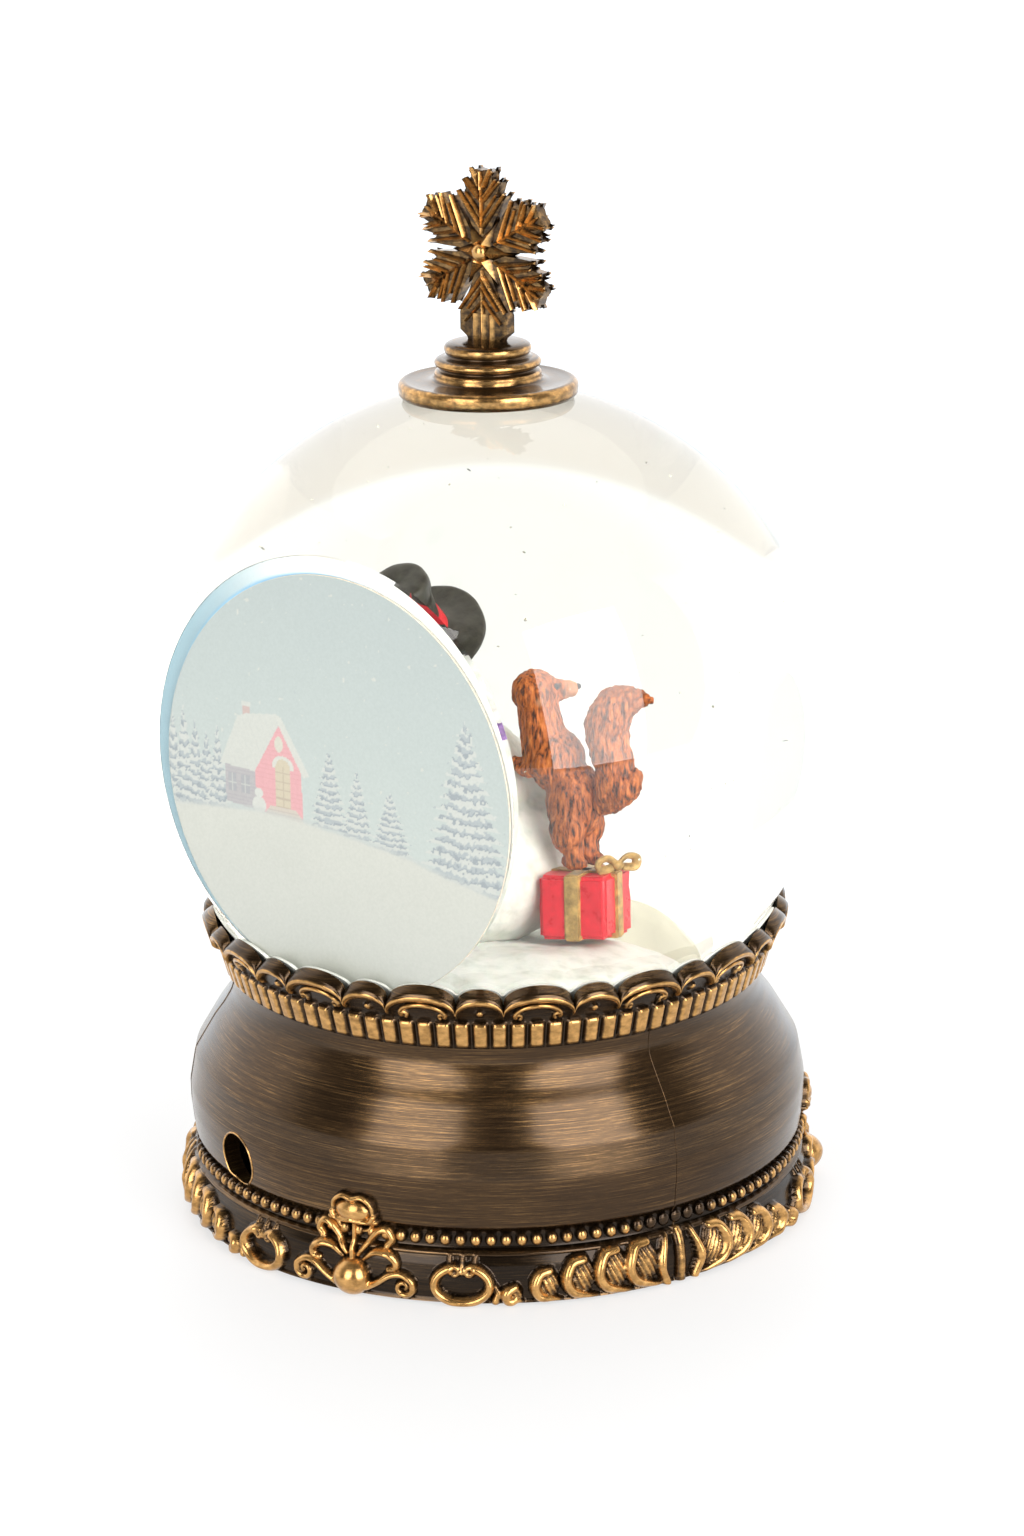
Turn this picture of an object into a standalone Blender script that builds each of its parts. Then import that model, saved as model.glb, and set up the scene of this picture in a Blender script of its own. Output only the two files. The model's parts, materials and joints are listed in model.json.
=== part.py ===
"""A water globe: a snowman and a squirrel in a glass ball, lit and stirred from a bronze base.

The globe stands on the origin with +Z up. The figures face -Y, and the ball's flat picture
window is at the back and faces +Y. An azimuth is measured in degrees from -Y towards +X.
All sizes below are in millimetres; new_object turns them into metres.
"""

import math

import bmesh
import bpy
from mathutils import Matrix, Vector

MM = 0.001
GAP = 0.3  # between two pieces that touch

# The glass ball
GLOBE_RADIUS = 50.0
GLOBE_HEIGHT = 73.5  # of its centre
GLASS_THICKNESS = 2.0
WINDOW_DEPTH = 38.1  # from the ball's centre to the flat picture window
NECK_RADIUS = 22.5  # the opening under the ball, inside
FILM_RADIUS = 30.8
FILM_CENTRE = (-1.0, 72.5)  # X and height; the print sits a little low in its window
FILM_THICKNESS = 0.3

# The base
WALL = 2.6
SKIRT_BOTTOM = 0.4
BASE_OUTLINE = (  # radius and height, up the outside
    (46.9, SKIRT_BOTTOM),
    (47.0, 3.4),
    (46.1, 7.2),
    (45.4, 8.0),
    (46.2, 9.2),
    (45.5, 10.4),
    (46.3, 15.5),
    (46.4, 18.5),
    (45.5, 23.5),
    (42.5, 28.5),
    (39.9, 32.5),
    (39.5, 35.0),
    (40.3, 36.5),
    (41.0, 40.5),
)
NECK = 10  # the outline's point under the ball's seat
RIM_RADIUS = 44.1
RIM_HEIGHT = 46.5
SCALLOP_DEPTH = 2.6
SCALLOPS = 16
LARGE_SCALLOP = 13.5  # degrees; a small one fills the rest of each period
BASE_SEGMENTS = 4 * SCALLOPS
SEAT_GAP = 1.3  # between the ball and its seat, for the sealant
SEAT_LOW = 34.0
SEAT_HIGH = RIM_HEIGHT - SCALLOP_DEPTH - 1.0

SECTORS = 3
FIRST_CARTOUCHE = 190.4
CARTOUCHE_BALL = 2.9

SOCKET_AZIMUTH = 161.2
SOCKET_HEIGHT = 14.4
SOCKET_HOLE_RADIUS = 4.0

# The underside
PLATE_BOTTOM = 2.0
PLATE_TOP = 4.2
PLATE_RADIUS = 43.4
FOOT_RADIUS = 4.5
FOOT_CIRCLE = 37.5
BOSS_CIRCLE = 38.0
BOSS_AZIMUTHS = (57, 177, 297)
BOSS_RADIUS = 3.4
SCREW_RADIUS = 1.2
SCREW_HEAD_RADIUS = 2.4
SCREW_HEAD_HEIGHT = 1.2

# Batteries (AAA cells), their box and door
CELL_RADIUS = 5.25
CELL_LENGTH = 43.5
CELL_NUB = 1.0
CELLS = 3
CELL_PITCH = 2 * CELL_RADIUS + 0.4
CELL_HEIGHT = 10.2  # of a cell's axis
BOX_WALL = 1.4
BOX_HALF_LENGTH = 26.4
BOX_HALF_WIDTH = 18.6
BOX_TOP = 17.2
DOOR_HALF_LENGTH = 24.6
DOOR_HALF_WIDTH = 16.8
DOOR_BOTTOM = 2.0
DOOR_TOP = 3.1
DOOR_SCREW_X = DOOR_HALF_LENGTH - 3.4
DOOR_TAB = (6.8, 7.0, 0.8)  # the ledge of the bottom plate that the door's screw holds

SWITCH_CENTRE = (0.0, -29.0)
SWITCH_TRAVEL = 2.6

# The motor and the magnets that turn the stirrer
MOTOR_RADIUS = 12.0
MOTOR_BOTTOM = BOX_TOP + GAP
MOTOR_TOP = 26.0
SHAFT_RADIUS = 1.0
DRIVE_RADIUS = 8.0
DRIVE_BOTTOM = 26.8
DRIVE_TOP = 29.0

# The light ring
BOARD_BOTTOM = 24.4
BOARD_THICKNESS = 1.5
BOARD_INNER = 26.8
BOARD_OUTER = 40.0
LED_CIRCLE = 29.2
LED_RADIUS = 1.5
LEDS = 3

# The plug and the stirrer above it
STOPPER_TOP = 35.0
STOPPER_FLANGE_BOTTOM = 27.6
STOPPER_RADIUS = NECK_RADIUS - GAP
WELL_RADIUS = 9.6
WELL_FLOOR = 31.0
PIN_RADIUS = 0.8
IMPELLER_RADIUS = 10.5
BLADES = 6

# The figures, all on the snow mound
MOUND_RADIUS = 21.4
MOUND_EDGE = 45.0
MOUND_TOP = 49.0
MOUND_UNDERSIDE = 42.0
SNOWMAN = (5.0, -2.5)
SNOWMAN_HEAD = (8.8, 0.3)
HEAD_TOP = 30.3  # above the snowman's foot
HAT_BRIM_HEIGHT = MOUND_TOP + HEAD_TOP + 1.6
HAT_CENTRE = (9.2, 0.8)
HAT_TILT = (math.radians(-27), math.radians(3))  # towards +Y and towards +X
GIFT = (-9.2, -4.1)
GIFT_TURN = math.radians(20)
GIFT_SIZE = (8.0, 8.0, 7.3)
BOW = (-12.7, -5.5)
SQUIRREL = (-9.9, -3.5)
SQUIRREL_SCALE = 1.1
SQUIRREL_LEAN = Vector((0.99, 0.12, 0.0)).normalized()
SQUIRREL_LOOK = Vector((-0.55, -0.83, 0.0))

# The crown piece
SAUCER_RADIUS = 13.15
BOSS_TOP = 130.5
FLAKE_CENTRE = 142.0
FLAKE_ARM = 13.2
FLAKE_THICKNESS = 3.0

LOOKS = {  # colour, roughness, metallic
    "bronze": ((0.17, 0.10, 0.045), 0.42, 0.75),
    "glass": ((0.92, 0.97, 0.96), 0.03, 0.0),
    "liquid": ((0.85, 0.93, 0.97), 0.05, 0.0),
    "picture": ((0.55, 0.66, 0.72), 0.5, 0.0),
    "snow": ((0.86, 0.86, 0.83), 0.6, 0.0),
    "black_cloth": ((0.03, 0.028, 0.025), 0.6, 0.0),
    "fur": ((0.50, 0.20, 0.05), 0.7, 0.0),
    "sealant": ((0.80, 0.80, 0.76), 0.5, 0.0),
    "gift_paper": ((0.70, 0.02, 0.04), 0.35, 0.0),
    "gold": ((0.62, 0.42, 0.14), 0.35, 0.6),
    "rubber": ((0.03, 0.03, 0.03), 0.8, 0.0),
    "black_plastic": ((0.04, 0.04, 0.045), 0.45, 0.0),
    "white_plastic": ((0.75, 0.75, 0.72), 0.4, 0.0),
    "steel": ((0.62, 0.62, 0.60), 0.28, 1.0),
    "brass": ((0.70, 0.52, 0.22), 0.3, 1.0),
    "magnet": ((0.30, 0.30, 0.31), 0.25, 1.0),
    "board": ((0.02, 0.22, 0.08), 0.45, 0.0),
    "lamp": ((0.90, 0.92, 0.85), 0.15, 0.0),
    "cell": ((0.05, 0.05, 0.07), 0.35, 0.2),
    "red_wire": ((0.60, 0.03, 0.03), 0.4, 0.0),
    "black_wire": ((0.02, 0.02, 0.02), 0.4, 0.0),
}


# ---- Tools ----


def clear_scene():
    for old in list(bpy.data.objects):
        bpy.data.objects.remove(old, do_unlink=True)


def polar(radius, azimuth, height):
    """The point at this radius and azimuth, in degrees from -Y towards +X."""
    angle = math.radians(azimuth)
    return Vector((radius * math.sin(angle), -radius * math.cos(angle), height))


def around(count, first=0.0):
    return [first + 360.0 * i / count for i in range(count)]


def turned(outline, segments=32, centre=(0.0, 0.0)):
    """Spins (radius, height) points about a vertical axis. An outline that starts and ends on the
    axis makes a solid, and any other is closed into a ring."""
    shape = bmesh.new()
    middle = Vector((centre[0], centre[1], 0.0))
    rings = []
    for radius, height in outline:
        azimuths = around(segments) if radius > 0 else [0.0]
        rings.append([shape.verts.new(middle + polar(radius, a, height)) for a in azimuths])
    pairs = list(zip(rings, rings[1:]))
    if len(rings[0]) > 1:
        pairs.append((rings[-1], rings[0]))
    for low, high in pairs:
        for i in range(segments):
            j = (i + 1) % segments
            corners = (low[i % len(low)], low[j % len(low)], high[j % len(high)], high[i % len(high)])
            shape.faces.new(list(dict.fromkeys(corners)))
    return shape


def disc(radius, low, high, centre=(0.0, 0.0), segments=24):
    return turned(((0, low), (radius, low), (radius, high), (0, high)), segments, centre)


def block(size, centre, turn=0.0):
    shape = bmesh.new()
    bmesh.ops.create_cube(shape, size=1.0)
    place = Matrix.Translation(centre) @ Matrix.Rotation(turn, 4, "Z") @ Matrix.Diagonal((*size, 1.0))
    shape.transform(place)
    return shape


def rod(start, end, radius, end_radius=None, segments=12):
    """A round bar or a cone between two points."""
    shape = bmesh.new()
    start, end = Vector(start), Vector(end)
    along = end - start
    turn = along.to_track_quat("Z", "Y").to_matrix().to_4x4()
    bmesh.ops.create_cone(
        shape,
        cap_ends=True,
        segments=segments,
        radius1=radius,
        radius2=radius if end_radius is None else end_radius,
        depth=along.length,
        matrix=Matrix.Translation((start + end) / 2) @ turn,
    )
    return shape


def ball(radius, centre, stretch=(1.0, 1.0, 1.0), turn=0.0, segments=10):
    shape = bmesh.new()
    bmesh.ops.create_uvsphere(shape, u_segments=segments, v_segments=segments // 2 + 2, radius=radius)
    place = Matrix.Translation(centre) @ Matrix.Rotation(turn, 4, "Z") @ Matrix.Diagonal((*stretch, 1.0))
    shape.transform(place)
    return shape


def ball_arc(radius, low, high, steps):
    """Outline points on the ball of this radius about the globe's centre, from height low to high."""
    first, last = (math.asin(min(1.0, (h - GLOBE_HEIGHT) / radius)) for h in (low, high))
    angles = [first + (last - first) * i / steps for i in range(steps + 1)]
    at_pole = math.pi / 2 - 1e-6
    reaches = [radius * math.cos(angle) if angle < at_pole else 0.0 for angle in angles]
    return [(r, GLOBE_HEIGHT + radius * math.sin(a)) for r, a in zip(reaches, angles)]


def paint(obj, look):
    colour, roughness, metallic = LOOKS[look]
    paint_of = bpy.data.materials.new(obj.name)
    paint_of.use_nodes = True
    shader = paint_of.node_tree.nodes["Principled BSDF"]
    shader.inputs["Base Color"].default_value = (*colour, 1.0)
    shader.inputs["Roughness"].default_value = roughness
    shader.inputs["Metallic"].default_value = metallic
    obj.data.materials.append(paint_of)


def new_object(name, shape, look=None, origin=(0.0, 0.0, 0.0)):
    """Makes a shape in millimetres into an object in metres. One without a look is a cutter."""
    origin = Vector(origin)
    shape.transform(Matrix.Scale(MM, 4) @ Matrix.Translation(-origin))
    bmesh.ops.recalc_face_normals(shape, faces=shape.faces)
    mesh = bpy.data.meshes.new(name)
    shape.to_mesh(mesh)
    shape.free()
    mesh.shade_smooth()
    mesh.set_sharp_from_angle(angle=math.radians(35))
    obj = bpy.data.objects.new(name, mesh)
    obj.location = origin * MM
    bpy.context.scene.collection.objects.link(obj)
    if look:
        paint(obj, look)
    else:
        obj.hide_render = True
        obj.display_type = "WIRE"
    return obj


def combine(obj, shape, operation):
    """Cuts a shape from an object, or joins it on."""
    helper = shape if isinstance(shape, bpy.types.Object) else None
    if helper is None:
        helper = new_object(f"{obj.name}_helper_{len(obj.modifiers)}", shape)
    boolean = obj.modifiers.new(operation.title(), "BOOLEAN")
    boolean.operation = operation
    boolean.object = helper


def cut(obj, shape):
    combine(obj, shape, "DIFFERENCE")


def join(obj, shape):
    combine(obj, shape, "UNION")


def smooth_path(points, steps=6):
    """Points along a Catmull-Rom curve through the given ones."""
    ends = [points[0] * 2 - points[1], *points, points[-1] * 2 - points[-2]]
    path = []
    for a, b, c, d in zip(ends, ends[1:], ends[2:], ends[3:]):
        for i in range(steps):
            t = i / steps
            path.append(0.5 * (2 * b + (c - a) * t + (2 * a - 5 * b + 4 * c - d) * t**2
                               + (3 * b - a - 3 * c + d) * t**3))
    return path + [points[-1]]


def tube(name, points, radii, look, steps=6):
    """A round tube through the points, whose radius may change along the way."""
    path = smooth_path([Vector((*p, r)) for p, r in zip(points, radii)], steps)
    curve = bpy.data.curves.new(name, "CURVE")
    curve.dimensions = "3D"
    curve.bevel_depth = MM
    curve.bevel_resolution = 2
    curve.use_fill_caps = True
    spline = curve.splines.new("POLY")
    spline.points.add(len(path) - 1)
    for point, (x, y, z, radius) in zip(spline.points, path):
        point.co = (x * MM, y * MM, z * MM, 1.0)
        point.radius = radius
    obj = bpy.data.objects.new(name, curve)
    bpy.context.scene.collection.objects.link(obj)
    paint(obj, look)
    return obj


# ---- The ball, its liquid and its picture ----


def half_space_block(depth):
    """Everything behind a plane that faces +Y at this distance."""
    size = 3 * GLOBE_RADIUS
    return block((size, size, size), (0.0, depth + size / 2, GLOBE_HEIGHT))


def add_glass_globe():
    neck_height = GLOBE_HEIGHT - math.sqrt((GLOBE_RADIUS - GLASS_THICKNESS) ** 2 - NECK_RADIUS**2)
    outside = ball_arc(GLOBE_RADIUS, neck_height, GLOBE_HEIGHT + GLOBE_RADIUS, 14)
    globe = new_object("glass_globe", turned([(0.0, neck_height), *outside], 36), "glass")
    cut(globe, half_space_block(WINDOW_DEPTH))
    below = neck_height - GLASS_THICKNESS
    inner_radius = GLOBE_RADIUS - GLASS_THICKNESS
    inside = ball_arc(inner_radius, neck_height, GLOBE_HEIGHT + inner_radius, 12)
    hollow = new_object("glass_hollow", turned([(0.0, below), (NECK_RADIUS, below), *inside], 30))
    cut(hollow, half_space_block(WINDOW_DEPTH - GLASS_THICKNESS))
    cut(globe, hollow)


def add_liquid():
    """The filling, with one hollow that the figures stand in and that is open below."""
    radius = GLOBE_RADIUS - GLASS_THICKNESS - 2 * GAP
    low = STOPPER_TOP + 2 * GAP
    outside = ball_arc(radius, low, GLOBE_HEIGHT + radius, 12)
    liquid = new_object("liquid", turned([(0.0, low), *outside], 30), "liquid")
    cut(liquid, half_space_block(WINDOW_DEPTH - GLASS_THICKNESS - GAP))
    cut(liquid, disc(MOUND_RADIUS + 2 * GAP, low - 1, MOUND_TOP + 2, segments=28))
    cut(liquid, disc(10.8, MOUND_TOP, 82.0, (-10.0, -3.6), 20))
    cut(liquid, disc(14.4, MOUND_TOP, 93.0, (7.2, -0.8), 24))


def add_backdrop_film():
    depth = WINDOW_DEPTH + GAP
    x, height = FILM_CENTRE
    film = rod((x, depth, height), (x, depth + FILM_THICKNESS, height), FILM_RADIUS, segments=48)
    new_object("backdrop_film", film, "picture")


# ---- The base and its underside ----


def scallop(azimuth):
    """0 between two scallops of the collar, and 1 at the top of one."""
    period = 360.0 / SCALLOPS
    place = (azimuth + LARGE_SCALLOP / 2) % period
    if place < LARGE_SCALLOP:
        across = 2 * place / LARGE_SCALLOP - 1
    else:
        across = 2 * (place - LARGE_SCALLOP) / (period - LARGE_SCALLOP) - 1
    return math.sqrt(max(0.0, 1 - across**2))


def shape_rim(shape):
    """Lowers the collar's edge between its scallops."""
    for vert in shape.verts:
        if vert.co.z > RIM_HEIGHT - 1.2:
            azimuth = math.degrees(math.atan2(vert.co.x, -vert.co.y))
            vert.co.z -= SCALLOP_DEPTH * (1 - scallop(azimuth))


def base_section():
    """The base's closed outline: up the outside, over the rim, down the ball's seat and back down
    the inside of the wall."""
    rim = [(RIM_RADIUS, RIM_HEIGHT), (RIM_RADIUS - 1.2, RIM_HEIGHT - 0.3)]
    seat = ball_arc(GLOBE_RADIUS + SEAT_GAP, SEAT_LOW, SEAT_HIGH, 3)[::-1]
    seat_end = seat[-1][0]
    neck_radius, neck_height = BASE_OUTLINE[NECK]
    under_seat = [(seat_end, SEAT_LOW - 2.2), (neck_radius - WALL, neck_height - 0.6)]
    inside = [(radius - WALL, height) for radius, height in BASE_OUTLINE[NECK - 2 :: -2]]
    return [*BASE_OUTLINE, *rim, *seat, *under_seat, *inside]


def add_base_shell():
    shape = turned(base_section(), BASE_SEGMENTS)
    shape_rim(shape)
    shell = new_object("base_shell", shape, "bronze")
    for azimuth in BOSS_AZIMUTHS:
        centre = polar(BOSS_CIRCLE, azimuth, 0)
        join(shell, disc(BOSS_RADIUS, PLATE_TOP + GAP, BOARD_BOTTOM - GAP, centre[:2], 12))
        join(shell, boss_web(azimuth))
    for azimuth in around(SECTORS, FIRST_CARTOUCHE):
        join(shell, ball(CARTOUCHE_BALL, polar(BASE_OUTLINE[0][0], azimuth, 3.6), segments=12))
    for azimuth in BOSS_AZIMUTHS:
        centre = polar(BOSS_CIRCLE, azimuth, 0)
        cut(shell, disc(SCREW_RADIUS + GAP, PLATE_BOTTOM, BOARD_BOTTOM + 1, centre[:2], 10))
    inner = polar(RIM_RADIUS - 10, SOCKET_AZIMUTH, SOCKET_HEIGHT)
    outer = polar(RIM_RADIUS + 10, SOCKET_AZIMUTH, SOCKET_HEIGHT)
    cut(shell, rod(inner, outer, SOCKET_HOLE_RADIUS, segments=20))


def boss_web(azimuth):
    """The rib that joins a screw boss to the wall."""
    low, high = PLATE_TOP + 2 * GAP, BOARD_BOTTOM - 2 * GAP
    reach = 3.0
    centre = polar(BOSS_CIRCLE + BOSS_RADIUS + reach / 2 - 1.2, azimuth, (low + high) / 2)
    return block((2.4, reach, high - low), centre, math.radians(azimuth))


def screw(name, centre, head_bottom, tip, look="steel", head_up=False):
    """A slotted screw that points up, or down when head_up is set."""
    way = -1 if head_up else 1
    head_top = head_bottom + way * SCREW_HEAD_HEIGHT
    outline = [
        (0.0, head_bottom),
        (SCREW_HEAD_RADIUS * 0.8, head_bottom),
        (SCREW_HEAD_RADIUS, head_bottom + way * 0.4),
        (SCREW_HEAD_RADIUS, head_top),
        (SCREW_RADIUS - 0.1, head_top),
        (SCREW_RADIUS - 0.1, tip - way * 1.0),
        (0.0, tip),
    ]
    obj = new_object(name, turned(outline, 10, centre), look)
    cut(obj, block((2.8, 0.6, 1.2), (*centre, head_bottom)))


def add_bottom_plate():
    sheet = disc(PLATE_RADIUS, PLATE_BOTTOM, PLATE_TOP, segments=48)
    plate = new_object("bottom_plate", sheet, "black_plastic")
    middle = (PLATE_BOTTOM + PLATE_TOP) / 2
    cut(plate, block((2 * DOOR_HALF_LENGTH, 2 * DOOR_HALF_WIDTH, 6.0), (0, 0, middle)))
    cut(plate, block((7.0, 3.6, 6.0), (*SWITCH_CENTRE, middle)))
    join(plate, block(DOOR_TAB, (DOOR_HALF_LENGTH - 1.0, 0.0, PLATE_TOP - DOOR_TAB[2] / 2)))
    cut(plate, disc(SCREW_RADIUS + GAP, 0, 9, (DOOR_SCREW_X, 0.0), 10))
    for azimuth in BOSS_AZIMUTHS:
        centre = polar(BOSS_CIRCLE, azimuth, 0)[:2]
        cut(plate, disc(SCREW_RADIUS + GAP, 0, 9, centre, 10))
        cut(plate, disc(SCREW_HEAD_RADIUS + GAP, 0, PLATE_BOTTOM + 1.2, centre, 16))


def add_feet_and_plate_screws():
    for number, azimuth in enumerate(around(4, 45.0), 1):
        centre = polar(FOOT_CIRCLE, azimuth, 0)[:2]
        outline = ((0, 0), (FOOT_RADIUS - 0.4, 0), (FOOT_RADIUS, PLATE_BOTTOM - GAP), (0, PLATE_BOTTOM - GAP))
        new_object(f"rubber_foot_{number}", turned(outline, 20, centre), "rubber")
    for number, azimuth in enumerate(BOSS_AZIMUTHS, 1):
        centre = polar(BOSS_CIRCLE, azimuth, 0)[:2]
        screw(f"plate_screw_{number}", centre, PLATE_BOTTOM - GAP, 12.0)


# ---- Batteries, their box and door ----


def add_battery_door():
    """The door swings down about its long -X edge; its screw holds the other end."""
    origin = (-DOOR_HALF_LENGTH + GAP, 0.0, DOOR_BOTTOM)
    size = (2 * (DOOR_HALF_LENGTH - GAP), 2 * (DOOR_HALF_WIDTH - GAP), DOOR_TOP - DOOR_BOTTOM)
    panel = block(size, (0, 0, (DOOR_BOTTOM + DOOR_TOP) / 2))
    door = new_object("battery_door", panel, "black_plastic", origin)
    cut(door, disc(SCREW_RADIUS + GAP, 0, 6, (DOOR_SCREW_X, 0.0), 10))
    head = DOOR_BOTTOM - GAP - SCREW_HEAD_HEIGHT
    screw("battery_door_screw", (DOOR_SCREW_X, 0.0), head, PLATE_TOP + GAP)


def add_battery_box():
    """An upside-down tray over the cells, with its roof under the motor."""
    low, high = PLATE_TOP + GAP, BOX_TOP
    size = (2 * BOX_HALF_LENGTH, 2 * BOX_HALF_WIDTH, high - low)
    box = new_object("battery_box", block(size, (0, 0, (low + high) / 2)), "black_plastic")
    inside = (size[0] - 2 * BOX_WALL, size[1] - 2 * BOX_WALL, size[2])
    cut(box, block(inside, (0, 0, (low + high) / 2 - BOX_WALL)))
    for side, row in ((-1, 1), (1, -1)):
        slot = (4.0, 1.6, 1.6)
        cut(box, block(slot, (side * BOX_HALF_LENGTH, row * CELL_PITCH, CELL_HEIGHT + 4.0)))
    for x, _ in mount_ears():
        cut(box, disc(SCREW_RADIUS, BOX_TOP - 3, BOX_TOP + 1, (x, 0.0), 10))


def add_batteries():
    """Three cells side by side, every other one turned round."""
    for number in range(CELLS):
        y = (number - 1) * CELL_PITCH
        way = 1 if number % 2 else -1
        shift = way * -CELL_NUB / 2
        rear = (shift - way * CELL_LENGTH / 2, y, CELL_HEIGHT)
        front = (shift + way * CELL_LENGTH / 2, y, CELL_HEIGHT)
        cell = new_object(f"battery_{number + 1}", rod(rear, front, CELL_RADIUS, segments=20), "cell")
        nub = (front[0] + way * CELL_NUB, y, CELL_HEIGHT)
        join(cell, rod((front[0] - way, y, CELL_HEIGHT), nub, CELL_RADIUS * 0.35, segments=12))


def add_battery_contacts():
    """Sprung plates at both ends: one for each outer lead, and a link that joins two cells."""
    x = BOX_HALF_LENGTH - BOX_WALL - 0.9
    thick = 0.8
    single = (thick, CELL_PITCH - 2.0, 8.0)
    pair = (thick, 2 * CELL_PITCH - 2.0, 8.0)
    plates = (
        ("battery_contact_positive", single, (-x, CELL_PITCH, CELL_HEIGHT)),
        ("battery_link_left", pair, (-x, -CELL_PITCH / 2, CELL_HEIGHT)),
        ("battery_link_right", pair, (x, CELL_PITCH / 2, CELL_HEIGHT)),
        ("battery_contact_negative", single, (x, -CELL_PITCH, CELL_HEIGHT)),
    )
    for name, size, centre in plates:
        plate = new_object(name, block(size, centre), "steel")
        edges = plate.modifiers.new("Bevel", "BEVEL")
        edges.width = 0.25 * MM
        edges.segments = 2


# ---- The switch and the socket ----


def add_switch():
    x, y = SWITCH_CENTRE
    low = PLATE_TOP + GAP
    body = new_object("switch_body", block((11.0, 5.6, 4.6), (x, y, low + 2.3)), "black_plastic")
    cut(body, block((6.4, 2.8, 4.0), (x, y, low + 1.0)))
    rest = x - SWITCH_TRAVEL / 2
    knob = block((2.8, 2.0, 2.0), (rest, y, low + 1.0))
    slider = new_object("switch_slider", knob, "white_plastic", (rest, y, low))
    join(slider, block((1.8, 1.6, 3.2), (rest, y, low - 0.9)))


def add_adaptor_socket():
    """A power socket, whose round mouth looks out of the hole in the base."""
    turn = math.radians(SOCKET_AZIMUTH)
    body_centre = polar(34.4, SOCKET_AZIMUTH, SOCKET_HEIGHT)
    socket = new_object("adaptor_socket", block((9.0, 9.0, 10.0), body_centre, turn), "black_plastic")
    face = polar(38.0, SOCKET_AZIMUTH, SOCKET_HEIGHT)
    mouth = polar(40.4, SOCKET_AZIMUTH, SOCKET_HEIGHT)
    join(socket, rod(face, mouth, SOCKET_HOLE_RADIUS - GAP, segments=20))
    cut(socket, rod(polar(31.5, SOCKET_AZIMUTH, SOCKET_HEIGHT), mouth * 1.1, 2.75, segments=20))


# ---- The light ring, the motor and the wires ----


def add_circuit_board():
    top = BOARD_BOTTOM + BOARD_THICKNESS
    low = BOARD_BOTTOM
    outline = ((BOARD_OUTER, low), (BOARD_OUTER, top), (BOARD_INNER, top), (BOARD_INNER, low))
    board = new_object("circuit_board", turned(outline, 40), "board")
    for number, azimuth in enumerate(BOSS_AZIMUTHS, 1):
        centre = polar(BOSS_CIRCLE, azimuth, 0)[:2]
        cut(board, disc(SCREW_RADIUS + GAP, BOARD_BOTTOM - 1, top + 1, centre, 12))
        screw(f"board_screw_{number}", centre, top + GAP + SCREW_HEAD_HEIGHT, 17.0, head_up=True)


def add_leds():
    low = BOARD_BOTTOM + BOARD_THICKNESS + GAP
    dome = [(LED_RADIUS * math.cos(a), low + 2.8 + LED_RADIUS * math.sin(a)) for a in (0, 0.5, 1.0)]
    flange = LED_RADIUS + 0.35
    outline = ((0, low), (flange, low), (flange, low + 0.8), (LED_RADIUS, low + 0.8), *dome)
    outline += ((0, low + 2.8 + LED_RADIUS),)
    for number, azimuth in enumerate(around(LEDS, 0.0), 1):
        centre = polar(LED_CIRCLE, azimuth, 0)[:2]
        new_object(f"led_{number}", turned(outline, 12, centre), "lamp")


def add_motor():
    bearing = 3.0
    can = (
        (0, MOTOR_BOTTOM),
        (MOTOR_RADIUS - 0.6, MOTOR_BOTTOM),
        (MOTOR_RADIUS, MOTOR_BOTTOM + 0.6),
        (MOTOR_RADIUS, MOTOR_TOP - 0.6),
        (MOTOR_RADIUS - 0.6, MOTOR_TOP - 0.1),
        (bearing, MOTOR_TOP - 0.1),
        (bearing, MOTOR_TOP + 0.3),
        (SHAFT_RADIUS + GAP, MOTOR_TOP + 0.3),
        (SHAFT_RADIUS + GAP, MOTOR_BOTTOM + 2.0),
        (0, MOTOR_BOTTOM + 2.0),
    )
    new_object("motor_can", turned(can, 24), "steel")
    new_object("motor_shaft", disc(SHAFT_RADIUS, MOTOR_BOTTOM + 2.3, DRIVE_TOP - 0.5, segments=12), "steel")
    bore = SHAFT_RADIUS + GAP
    ring = ((DRIVE_RADIUS, DRIVE_BOTTOM), (DRIVE_RADIUS, DRIVE_TOP), (bore, DRIVE_TOP), (bore, DRIVE_BOTTOM))
    new_object("drive_magnet", turned(ring, 24), "magnet")


def mount_ears():
    return ((-17.2, -1), (17.2, 1))


def add_motor_mount():
    """A plastic ring round the motor, screwed to the battery box by two ears."""
    low, high = BOX_TOP + GAP, BOX_TOP + 4.5
    inner, outer = MOTOR_RADIUS + GAP, MOTOR_RADIUS + 2.2
    ring = ((outer, low), (outer, high), (inner, high), (inner, low))
    mount = new_object("motor_mount", turned(ring, 24), "black_plastic")
    ear_top = low + 1.8
    for number, (x, side) in enumerate(mount_ears(), 1):
        join(mount, block((6.6, 5.6, ear_top - low), (x - side * 0.9, 0, (low + ear_top) / 2)))
        cut(mount, disc(SCREW_RADIUS + GAP, low - 1, ear_top + 1, (x, 0.0), 10))
        head = ear_top + GAP + SCREW_HEAD_HEIGHT
        screw(f"mount_screw_{number}", (x, 0.0), head, BOX_TOP - 1.2, head_up=True)


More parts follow.
